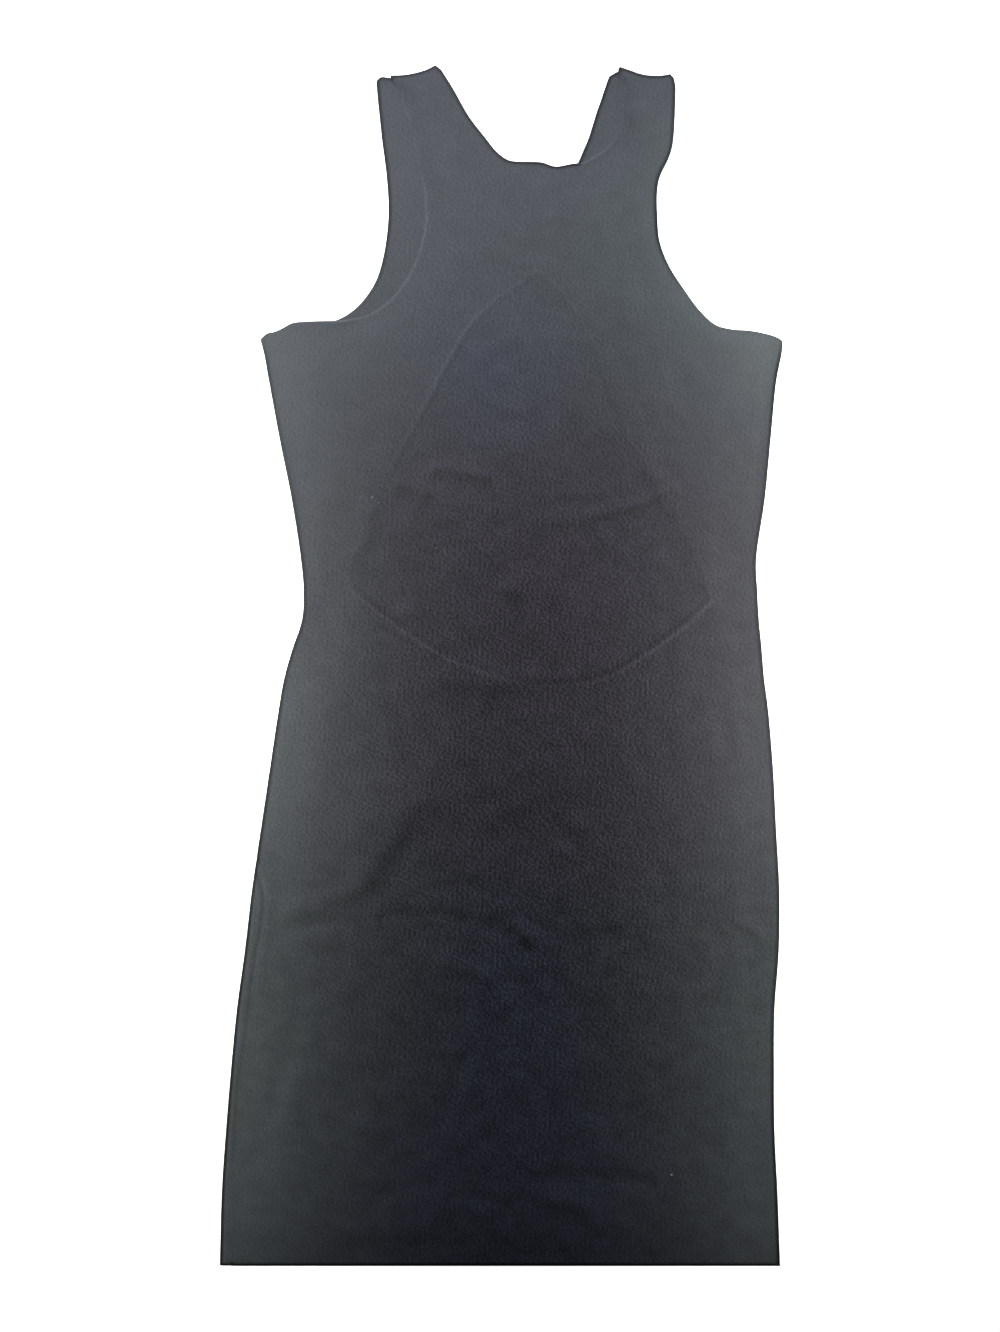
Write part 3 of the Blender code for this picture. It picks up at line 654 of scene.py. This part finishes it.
def paintedLinesAt(points):
    # painted highlight where the front lies over the keyhole's edge and along its own turned edges,
    # with painted shade beside the keyhole's edge and the neck
    x, up = points.T
    toHole, _ = nearestOn(holeLoop, points)
    inward = np.where(heldBy(holeLoop, points), toHole, -toHole)
    bright, dark = holeShow(points)
    hole = bright * paintedLine("hole", inward) + dark * paintedLine("holeShade", inward)
    low, high = paintedLines["armholeShare"]
    armShow = (low + (high - low) * ease(up, *paintedLines["armholeUp"])) * ease(x, *paintedLines["armholeAcross"])
    armhole = armShow * paintedLine("armhole", toEdgeRun("leftArmhole", points))
    toNeck = toEdgeRun("neck", points)
    neckShow = ease(x, *paintedLines["neckAcross"]) * ease(up, *paintedLines["neckUp"])
    return hole + armhole + neckShow * (paintedLine("neck", toNeck) + paintedLine("neckShade", toNeck))


# Where the tones lie: across, a middle and a half width. Up, a tone comes over the first two
# heights and goes over the last two.
tones = {
    "edgeFade": (1.9, 3.3),  # of the painted shade along the outer edge
    "underarm": (105, 130),  # where that is paler: distances from the middle
    "underarmUp": (700, 714, 745, 770),
    "underarmShare": 0.75,
    "nap": (22, 305, 132, 310),  # x, up, half width, half height
    "mottle": (20, 130, 0.55, 0.75),  # middle, half width, share outside, share more inside
    "warm": (70, 190),
    "warmUp": (170, 400, 560, 760),
    "cool": (0, 140),
    "coolUp": (190, 30),
    "coolShare": 0.65,
}


def between(x, *steps):
    # comes up over the first two steps and goes over the last two
    return ease(x, *steps[:2]) * (1 - ease(x, *steps[2:]))


def patchAt(points, middle, high, wide, tall):
    x, up = points.T
    return bell(x, middle, wide) * bell(up, high, tall)


def clothMarks(points):
    # where painted shade darkens the outer edge, where the grain stands out, where the tint is warmer
    # or cooler, and how mottled the dye is
    x, up = points.T
    _, toEdge = nearestPoints(dressEdge, points)
    ups, left, right = zip(*edgeShow)
    depth = np.where(x < 0, np.interp(up, ups, left), np.interp(up, ups, right))
    underarm = ease(np.abs(x - dress["armMiddle"]), *tones["underarm"])
    underarm *= between(up, *tones["underarmUp"])
    warm = bell(x, *tones["warm"]) * between(up, *tones["warmUp"])
    cool = tones["coolShare"] * bell(x, *tones["cool"]) * ease(up, *tones["coolUp"])
    for *place, warmShare, coolShare in tintPatches:
        patch = patchAt(points, *place)
        warm, cool = warm + warmShare * patch, cool + coolShare * patch
    middle, wide, outside, more = tones["mottle"]
    edgeFade = 1 - ease(toEdge, *tones["edgeFade"])
    return {
        "paintedEdgeShade": depth * edgeFade * (1 - tones["underarmShare"] * underarm),
        "napMark": patchAt(points, *tones["nap"]),
        "mottleMark": np.interp(up, *zip(*mottleShow)) * (outside + more * bell(x, middle, wide)),
        "warmMark": warm,
        "coolMark": cool,
    }


front = {
    "spacing": 3.5,
    "margin": 2.2,
    "edgeRings": (0.2, 0.7, 1.7, 2.6, 3.6, 5.2),
    "holeRings": (-9.5, -7.0, -4.5, -2.4, -1.0, 0.4, 1.8, 3.2, 4.6, 6.2),
    "holeClear": (1.5, 1.3),  # the last ones' margin, and how far apart their points are
    # soft unevenness: seed, height, shortest and longest wave, number of waves
    "grounds": [(11, 0.6, 18, 70, 46), (37, 0.6, 70, 150, 24), (23, 0.11, 7, 16, 30)],
    "groundShare": 0.45,  # of it away from the napped middle
    "edgeRoll": (0.12, 2.4, 2.2),  # turned neck and armholes: height, how far in, half width
    "seamSwell": (0.35, 7.0, 4.5),  # the same beside the rolled seam
    "swellUp": (60, 240),
    "loftFade": (2, 46),  # the air and the folds come up over these distances from the edge
    "foldFade": (0.5, 14),
    "hemSlope": 0.5,
    "hemFade": (1, 14),
    "onBack": (2, 10),  # an edge this far inside the back's, and this high up, lies on it
    "onBackUp": (500, 600),
    "thinned": 16.0,  # such an edge thins out over this width
    "thinShare": 0.04,  # to this share of the wall
    "bluntShare": 0.12,  # and a free edge to this one
    "rollSide": -150,  # left of this x the edge lies beside the roll and stays thick
    "rollUp": (1, 4),
    "rollTuck": 0.1,  # its underside rises by this share less than the roll
    "thinnest": 0.04,  # the wall over the roll, at the least
    "droop": 0.15,  # the edges settle onto the back
    "droopWidth": (3.5, 10),  # over this width, and so much more where they lie on it
}


def edgeSwell(points):
    # soft rolls along the turned edges and beside the rolled seam
    height, inside, wide = front["edgeRoll"]
    toTurned = np.minimum(toEdgeRun("leftArmhole", points), toEdgeRun("neck", points))
    turned = height * bell(toTurned, inside, wide)
    height, inside, wide = front["seamSwell"]
    seam = height * bell(toRolledRun(points), inside, wide)
    up = points[:, 1]
    return turned + seam * (ease(up, *front["swellUp"]) * rolledShare(up))


def frontLift(points, away):
    # how far the front stands above its bed
    loft = dress["loft"] * ease(away, *front["loftFade"])
    ground = sum(cockle(points, *row) for row in front["grounds"])
    share = front["groundShare"]
    ground *= share + (1 - share) * patchAt(points, *tones["nap"])
    relief = foldHeight(points, frontFolds + pressLines) + ground
    relief += front["hemSlope"] * ease(points[:, 1], *front["hemFade"])
    lift = np.maximum(loft + ease(away, *front["foldFade"]) * relief, backCrease(points))
    return lift + edgeSwell(points)


def frontWall(points, away):
    # share of the wall's thickness, how far the edge droops, and where it lies beside the roll
    x, up = points.T
    onBack = ease(nearestOn(backLoop, points)[0], *front["onBack"])
    onBack *= heldBy(backLoop, points) * ease(up, *front["onBackUp"])
    besideRoll = (x < front["rollSide"]) * rolledShare(up) * ease(up, *front["rollUp"])
    least, thin = front["bluntShare"], front["thinShare"]
    blunt = np.maximum(least + (1 - least) * edgeShape(away), besideRoll)
    thinned = thin + (1 - thin) * ease(away, 0, front["thinned"])
    thick = (1 - onBack) * blunt + onBack * thinned
    free, more = front["droopWidth"]
    droop = front["droop"] * (1 - ease(away, 0, free + more * onBack)) * (1 + onBack)
    return thick, droop, besideRoll


def makeFront():
    rows = edgeRows(frontLoop, front["edgeRings"])
    rows += [(stepIn(holeLoop, by), *front["holeClear"]) for by in front["holeRings"]]
    rows += creaseRows(frontFolds + pressLines)
    rows.append(evenField(front["spacing"], front["margin"]))
    where, faces = panelMesh([frontLoop], rows)
    away, _ = nearestOn(frontLoop, where)
    thick, droop, besideRoll = frontWall(where, away)
    under = rollHeight(where)
    low = bedHeight(where) - under + frontLift(where, away) - droop
    high = low + dress["wall"] * thick
    tucked = low + under * (1 - front["rollTuck"] * besideRoll)
    low = np.minimum(tucked, high - front["thinnest"])
    # painted highlights and shades along the keyhole's edge, the turned edges and the rolled seam
    marks = dict(clothMarks(where), paintedLightShadeMark=paintedLinesAt(where) + seamTone(where))
    return clothWall("frontCloth", where, faces, low, high, marks)


back = {
    "spacing": 6.0,
    "margin": 3.0,
    "rings": (0.2, 0.7, 1.7, 2.6, 3.6, 5.2, 8.0),
    "holeClear": (1.9, 0),
    "rollLines": (0.1, 0.2, 0.3, 0.42, 0.65, 0.83, 0.93, 1.0, 1.07, 1.16, 1.25, 1.34, 1.43),
    "rollStep": 1.6,
    "rollLeast": 2,  # no lines where the roll is narrower
    "rollClear": (0.5, 0.25),
    "edgeShare": 0.45,  # of the thickness is left at an edge
    "undercut": 0.35,  # how far an edge lifts off the floor
    "rollPaintedLight": 0.3,  # painted highlight that makes the rolled seam a little paler
    "rollReach": 12,  # and no wider than this
}


def makeBack():
    rows = edgeRows(backLoop, back["rings"])
    rows += edgeRows(holeLoop, back["rings"], -1, back["holeClear"])
    rows += creaseRows(backFolds)
    run = sideRun(1, back["rollStep"])
    width = rollWidth(run[:, 1])
    wide = width > back["rollLeast"]
    run, width = run[wide], width[wide]
    for share in back["rollLines"]:
        rows.append((run + np.outer(width * share, (1, 0)), *back["rollClear"]))
    rows.append(evenField(back["spacing"], back["margin"]))
    where, faces = panelMesh([backLoop, holeLoop], rows)
    away = np.minimum(nearestOn(backLoop, where)[0], nearestOn(holeLoop, where)[0])
    shape, least = edgeShape(away), back["edgeShare"]
    crease = backCrease(where)
    high = (dress["wall"] + backRise(where)) * (least + (1 - least) * shape) + crease
    low = back["undercut"] * (1 - shape) + crease
    atRoll = seamDistance(where)[0] < back["rollReach"]
    # painted highlight on the rolled seam, with its painted shade and highlight
    paintedLightShade = (back["rollPaintedLight"] * rolledShare(where[:, 1]) + seamTone(where)) * atRoll
    return clothWall("backCloth", where, faces, low, high, dict(clothMarks(where), paintedLightShadeMark=paintedLightShade))


frontCloth = makeFront()
backCloth = makeBack()

print("mixing the crepe")


class Sock:
    # wraps a socket, so that maths on it adds nodes
    def __init__(self, maker, socket):
        self.maker, self.socket = maker, socket

    def maths(self, operation, first, second):
        return self.maker.node("ShaderNodeMath", {0: first, 1: second}, operation=operation)

    def __add__(self, other):
        return self.maths("ADD", self, other)

    __radd__ = __add__

    def __sub__(self, other):
        return self.maths("SUBTRACT", self, other)

    def __rsub__(self, other):
        return self.maths("SUBTRACT", other, self)

    def __mul__(self, other):
        return self.maths("MULTIPLY", self, other)

    __rmul__ = __mul__


class Maker:
    # adds nodes to a shader or geometry tree
    def __init__(self, tree):
        self.tree = tree

    def feed(self, target, value):
        if isinstance(value, Sock):
            self.tree.links.new(value.socket, target)
        else:
            target.default_value = value

    def node(self, kind, sockets=None, out=0, **settings):
        made = self.tree.nodes.new(kind)
        for key, value in settings.items():
            setattr(made, key, value)
        for key, value in (sockets or {}).items():
            self.feed(made.inputs[key], value)
        return Sock(self, made.outputs[out])

    def noise(self, place, scale, detail, roughness):
        spread = self.node("ShaderNodeMapping", {"Vector": place, "Scale": scale})
        return self.node("ShaderNodeTexNoise", {
            "Vector": spread, "Scale": 1.0, "Detail": detail, "Roughness": roughness,
        })

    def blend(self, share, first, second):
        # one colour turning into another
        first, second = ((*c, 1) if isinstance(c, tuple) else c for c in (first, second))
        return self.node("ShaderNodeMix", {0: share, 6: first, 7: second}, 2, data_type="RGBA")


def newMaterial(name, plain):
    material = bpy.data.materials.new(name)
    material.use_nodes = True
    shader = material.node_tree.nodes["Principled BSDF"]
    for socket, value in plain.items():
        shader.inputs[socket].default_value = value
    return material, shader, Maker(material.node_tree)


crepe = {
    "deep": (0.0224, 0.0244, 0.0280),  # between the grains
    "pale": (0.0618, 0.0669, 0.0760),  # on top of them
    "warm": (1.135, 1.0, 1.08),
    "cool": (0.95, 1.0, 1.25),
    "grains": (520.0, 460.0, 0.0),  # in a metre
    "ribStep": 0.00385,  # a rib every 3.85 mm
    "ribLean": 0.08,
    "twin": (0.0018, 0.0004, 0),  # the grain's darker twin lies this far from it
    "twinShare": 0.45,
    "calm": 0.15,  # share of the grain left at the smooth edges
    "grainShare": 0.8,
    "ribShare": 0.05,
    "base": 0.45,
    "contrast": 4.1,
    "grainBump": 0.0004,
    "clouds": (58.0, 76.0, 0.0),
    "cloudShare": 1.0,
    # strength of the painted shade along the outer edge
    "edgeShade": 0.95,
    # strength of the painted highlights and shades along the lines
    "paintedLightShade": 0.42,
    "plain": {
        "Roughness": 0.8, "Specular IOR Level": 0.1, "Sheen Weight": 0.03, "Sheen Roughness": 0.5,
        "Sheen Tint": (0.78, 0.84, 1.0, 1.0),
    },
}


def makeCrepe(name, look):
    material, shader, mix = newMaterial(name, look["plain"])
    place = mix.node("ShaderNodeTexCoord", out=3)
    beside = mix.node("ShaderNodeVectorMath", {0: place, 1: look["twin"]}, operation="ADD")
    grain, twin = (mix.noise(spot, look["grains"], 1.0, 0.6) for spot in (place, beside))
    turned = mix.node("ShaderNodeMapping", {"Vector": place, "Rotation": (0, 0, look["ribLean"])})
    ribs = mix.node("ShaderNodeTexWave", {
        "Vector": turned, "Scale": math.pi / 10 / look["ribStep"], "Distortion": 3.5, "Detail": 1.0,
        "Detail Scale": 2.0,
    }, out=1)
    grainHeight = grain - 0.5 - (twin - 0.5) * look["twinShare"]
    height = look["base"] + grainHeight * look["grainShare"] + ribs * look["ribShare"]
    marks = ("napMark", "warmMark", "coolMark", "mottleMark", "paintedEdgeShade", "paintedLightShadeMark")
    nap, warm, cool, mottle, edge, paintedLightShade = (
        mix.node("ShaderNodeAttribute", out=2, attribute_name=mark) for mark in marks
    )
    strength = nap * (1 - look["calm"]) + look["calm"]
    tone = (height - 0.5) * strength * look["contrast"] + 0.5
    shade = mix.blend(tone, look["deep"], look["pale"])
    tint = mix.blend(cool, mix.blend(warm, (1, 1, 1), look["warm"]), look["cool"])
    clouds = mix.noise(place, look["clouds"], 4.0, 0.72)
    dim = 1 + (clouds - 0.5) * mottle * look["cloudShare"]
    # painted shade along the outer edge, and painted highlight and shade along the lines
    dim = dim * (1 - edge * look["edgeShade"]) * (1 + paintedLightShade * look["paintedLightShade"])
    dyed = mix.node("ShaderNodeVectorMath", {0: shade, 1: tint}, operation="MULTIPLY")
    colour = mix.node("ShaderNodeVectorMath", {0: dyed, "Scale": dim}, operation="SCALE")
    bump = mix.node("ShaderNodeBump", {"Height": height * strength, "Distance": look["grainBump"]})
    mix.feed(shader.inputs["Base Color"], colour)
    mix.feed(shader.inputs["Normal"], bump)
    return material


frontCloth.data.materials.append(makeCrepe("charcoalCrepe", crepe))
backCloth.data.materials.append(makeCrepe("charcoalCrepeBack", crepe))

print("sewing the seams")


def nodeTree(name, inputs):
    # a Geometry Nodes tree with named inputs
    tree = bpy.data.node_groups.new(name, "GeometryNodeTree")
    tree.interface.new_socket("Geometry", in_out="INPUT", socket_type="NodeSocketGeometry")
    for title, kind in inputs.items():
        tree.interface.new_socket(title, in_out="INPUT", socket_type="NodeSocket" + kind)
    tree.interface.new_socket("Geometry", in_out="OUTPUT", socket_type="NodeSocketGeometry")
    maker = Maker(tree)
    given = tree.nodes.new("NodeGroupInput")
    return tree, maker, {socket.name: Sock(maker, socket) for socket in given.outputs if socket.name}


def tube(maker, line, sides, radius, **more):
    ring = maker.node("GeometryNodeCurvePrimitiveCircle", {"Resolution": sides, "Radius": radius})
    return maker.node("GeometryNodeCurveToMesh", {
        "Curve": line, "Profile Curve": ring, "Fill Caps": True, **more,
    })


def closeTree(tree, maker, geometry, material):
    solid = maker.node("GeometryNodeRealizeInstances", {0: geometry})
    done = maker.node("GeometryNodeSetMaterial", {"Geometry": solid, "Material": material})
    maker.feed(tree.nodes.new("NodeGroupOutput").inputs[0], done)


def grow(name, mesh, tree, values):
    # runs the tree on the mesh and keeps the result as a plain mesh
    seed = addObject(name + "Guide", mesh)
    modifier = seed.modifiers.new("grow", "NODES")
    modifier.node_group = tree
    for item in tree.interface.items_tree:
        if item.in_out == "INPUT" and item.name in values:
            modifier[item.identifier] = values[item.name]
    bpy.context.view_layer.update()
    ready = seed.evaluated_get(bpy.context.evaluated_depsgraph_get())
    made = addObject(name, bpy.data.meshes.new_from_object(ready))
    bpy.data.objects.remove(seed)
    print("  ", name, len(made.data.polygons), "faces")
    return made


sewing = {
    "pitch": 2.6,
    "thread": 0.34,
    "rise": 0.75,  # half height of a stitch
    "lean": 0.35,
    "height": 2.1,  # of the seam line above the floor
    "inset": 0.45,
    "seamStep": 4.0,  # between the points of the guide lines
    "shoulderStep": 3.0,
    "sides": 6,
    "least": 0.86,  # size of a stitch
    "greatest": 1.12,
    "seed": 5,
    "colour": (0.016, 0.017, 0.021, 1),
}


def threadTree():
    tree, maker, given = nodeTree("seamStitches", {
        "Pitch": "Float", "Thread": "Float", "Rise": "Float", "Lean": "Float", "Seed": "Int",
        "Finish": "Material",
    })
    line = maker.node("GeometryNodeMeshToCurve", {0: given["Geometry"]})
    steps = maker.node("GeometryNodeResampleCurve", {
        "Curve": line, "Length": given["Pitch"],
    }, mode="LENGTH")
    turn = maker.node("FunctionNodeAlignRotationToVector", {
        "Vector": maker.node("GeometryNodeInputTangent"),
    }, axis="X")
    lean, rise = given["Lean"], given["Rise"]
    foot = maker.node("ShaderNodeCombineXYZ", {"X": lean * -1.0, "Z": rise * -1.0})
    tip = maker.node("ShaderNodeCombineXYZ", {"X": lean, "Z": rise})
    core = maker.node("GeometryNodeCurvePrimitiveLine", {"Start": foot, "End": tip})
    stitch = tube(maker, core, sewing["sides"], given["Thread"] * 0.5)
    size = maker.node("FunctionNodeRandomValue", {
        2: sewing["least"], 3: sewing["greatest"], "Seed": given["Seed"],
    }, out=1, data_type="FLOAT")
    row = maker.node("GeometryNodeInstanceOnPoints", {
        "Points": steps, "Instance": stitch, "Rotation": turn, "Scale": size,
    })
    closeTree(tree, maker, row, given["Finish"])
    return tree


def seamLines():
    # polylines just inside the edges that are sewn
    inset, step = sewing["inset"], sewing["seamStep"]
    runs = [rolledRun(step) + (inset, 0), sideRun(2, step) - (inset, 0)]
    for side in ("leftShoulder", "rightShoulder"):
        runs.append(smoothPath(frontEdges[side], sewing["shoulderStep"]) - (0, inset))
    verts, edges = [], []
    for run in runs:
        first = len(verts)
        verts += placed(run, np.full(len(run), sewing["height"])).tolist()
        edges += [(first + i, first + i + 1) for i in range(len(run) - 1)]
    mesh = bpy.data.meshes.new("seamLines")
    mesh.from_pydata(verts, edges, [])
    return mesh


threadMaterial, _, _ = newMaterial("polyesterThread", {
    "Base Color": sewing["colour"], "Roughness": 0.55, "Sheen Weight": 0.2,
})
seamStitches = grow("seamStitches", seamLines(), threadTree(), {
    **{size: sewing[size.lower()] / 1000 for size in ("Pitch", "Thread", "Rise", "Lean")},
    "Seed": sewing["seed"], "Finish": threadMaterial,
})

lint = {
    # x, up, degrees, length, thickness
    "hairs": [
        (131, 71, 25, 1.4, 0.9), (-43, 550, 112, 1.9, 0.16), (-50, 552, 60, 1.2, 0.14),
        (-99, 591, 20, 2.0, 0.18), (-94, 587, 160, 1.3, 0.16), (76, 372, 70, 1.5, 0.2),
        (-43, 107, 96, 1.9, 0.15), (3, 305, 80, 1.6, 0.12),
    ],
    "bow": 0.22,  # how far a hair curls, as a share of its length
    "sides": 5,
    "tipRise": 0.06,
    "settled": 0.2,  # its middle stands off the cloth by this share of its thickness
    "colour": (0.48, 0.48, 0.5, 1),
}


def lintTree():
    tree, maker, given = nodeTree("lint", {"Bow": "Float", "Sides": "Int", "Finish": "Material"})
    bend = maker.node("ShaderNodeCombineXYZ", {"Y": given["Bow"]})
    hair = maker.node("GeometryNodeCurveQuadraticBezier", {
        "Resolution": 7, "Start": (-0.5, 0, 0), "Middle": bend, "End": (0.5, 0, lint["tipRise"]),
    })
    length, thick, turn = (
        maker.node("GeometryNodeInputNamedAttribute", {"Name": title}, data_type="FLOAT")
        for title in ("length", "thick", "turn")
    )
    spot = maker.node("GeometryNodeInstanceOnPoints", {
        "Points": given["Geometry"], "Instance": hair, "Scale": length,
        "Rotation": maker.node("ShaderNodeCombineXYZ", {"Z": turn}),
    })
    lines = maker.node("GeometryNodeRealizeInstances", {0: spot})
    hairs = tube(maker, lines, given["Sides"], 0.5, Scale=thick)
    closeTree(tree, maker, hairs, given["Finish"])
    return tree


def lintPoints():
    # a point on the front for every hair, with its size and turn
    x, up, turn, length, thick = np.array(lint["hairs"], float).T
    spots = np.stack([x, up], axis=1)
    away, _ = nearestOn(frontLoop, spots)
    top = bedHeight(spots) + frontLift(spots, away) + dress["wall"] + thick * lint["settled"]
    mesh = bpy.data.meshes.new("lintPoints")
    mesh.from_pydata(placed(spots, top).tolist(), [], [])
    keepMarks(mesh, {"turn": np.radians(turn), "length": length / 1000, "thick": thick / 1000})
    return mesh


lintMaterial, _, _ = newMaterial("lintFibre", {"Base Color": lint["colour"], "Roughness": 0.9})
lintHairs = grow("lintHairs", lintPoints(), lintTree(), {
    "Bow": lint["bow"], "Sides": lint["sides"], "Finish": lintMaterial,
})

print("setting the floor, lights and camera")

# From here on in metres.
studio = {
    "floorHalf": 3.0,
    "floorDrop": 0.0002,
    "backdrop": (0.93, 0.94, 0.96, 1),
    "skyLight": 0.02,
    "cameraAt": (-0.0009, -0.0004, 1.4258),
    "lens": 50.0,
    "sensor": 36.0,
}
# low strips beside the dress: place along it, watts on the left and on the right
sideStrips = {"out": 0.31, "height": 0.14, "aim": 0.20, "size": (0.20, 0.05), "spread": 80,
              "colour": (0.96, 1.0, 0.885)}
stripPower = [
    (0.34, 0.1, 0.28), (0.16, 0.262, 0.178), (-0.02, 0.335, 0.202),
    (-0.20, 0.153, 0.128), (-0.38, 0.116, 0.096),
]
# name, place, aim, width and height, watts, colour, spread in degrees
lamps = [
    ("lampTop", (0, 0.8, 0.4), (0, 0.25, 0), (0.45, 0.12), 6, (0.93, 0.85, 0.985), 180),
    ("lampChestLeft", (-0.15, 0.36, 0.45), (-0.15, 0.36, 0), (0.14, 0.14), 0.395, (0.94, 1, 0.93), 70),
    ("lampChestRight", (0.15, 0.36, 0.45), (0.15, 0.36, 0), (0.14, 0.14), 0.16, (0.7, 1, 0.8), 70),
]
for up, leftWatts, rightWatts in stripPower:
    for side, watts in ((-1, leftWatts), (1, rightWatts)):
        out, aim, high = side * sideStrips["out"], side * sideStrips["aim"], sideStrips["height"]
        lamps.append((
            f"strip{'Left' if side < 0 else 'Right'}{len(lamps)}", (out, up, high), (aim, up, 0),
            sideStrips["size"], watts, sideStrips["colour"], sideStrips["spread"],
        ))


def makeFloor():
    half, z = studio["floorHalf"], -studio["floorDrop"]
    corners = [(-half, -half, z), (half, -half, z), (half, half, z), (-half, half, z)]
    mesh = bpy.data.meshes.new("floor")
    mesh.from_pydata(corners, [], [(0, 1, 2, 3)])
    paper, _, _ = newMaterial("paperFloor", {
        "Base Color": (0.88, 0.88, 0.88, 1), "Roughness": 0.9,
        "Emission Color": (1, 1, 1, 1), "Emission Strength": 0.95,
    })
    mesh.materials.append(paper)
    addObject("floor", mesh)


def makeLights():
    world = bpy.data.worlds.new("studioSky")
    world.use_nodes = True
    air = Maker(world.node_tree)
    sky = world.node_tree.nodes["Background"]
    sky.inputs["Color"].default_value = studio["backdrop"]
    seen = air.node("ShaderNodeLightPath")
    air.feed(sky.inputs["Strength"], seen + studio["skyLight"])
    scene.world = world
    for name, place, aim, size, watts, colour, spread in lamps:
        light = bpy.data.lights.new(name, "AREA")
        light.shape, light.energy, light.color = "RECTANGLE", watts, colour
        light.size, light.size_y = size
        light.spread = math.radians(spread)
        lamp = addObject(name, light)
        lamp.location = place
        lamp.rotation_euler = (Vector(aim) - Vector(place)).to_track_quat("-Z", "Y").to_euler()
        lamp.visible_camera = False


def makeCamera():
    lens = bpy.data.cameras.new("camera")
    lens.lens, lens.sensor_width = studio["lens"], studio["sensor"]
    scene.camera = addObject("camera", lens)
    scene.camera.location = studio["cameraAt"]


makeFloor()
makeLights()
makeCamera()

print("tying the pieces to the body")
for piece in (frontCloth, backCloth, seamStitches, lintHairs):
    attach(piece, "root")
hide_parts("front_panel")
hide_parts("back_panel")
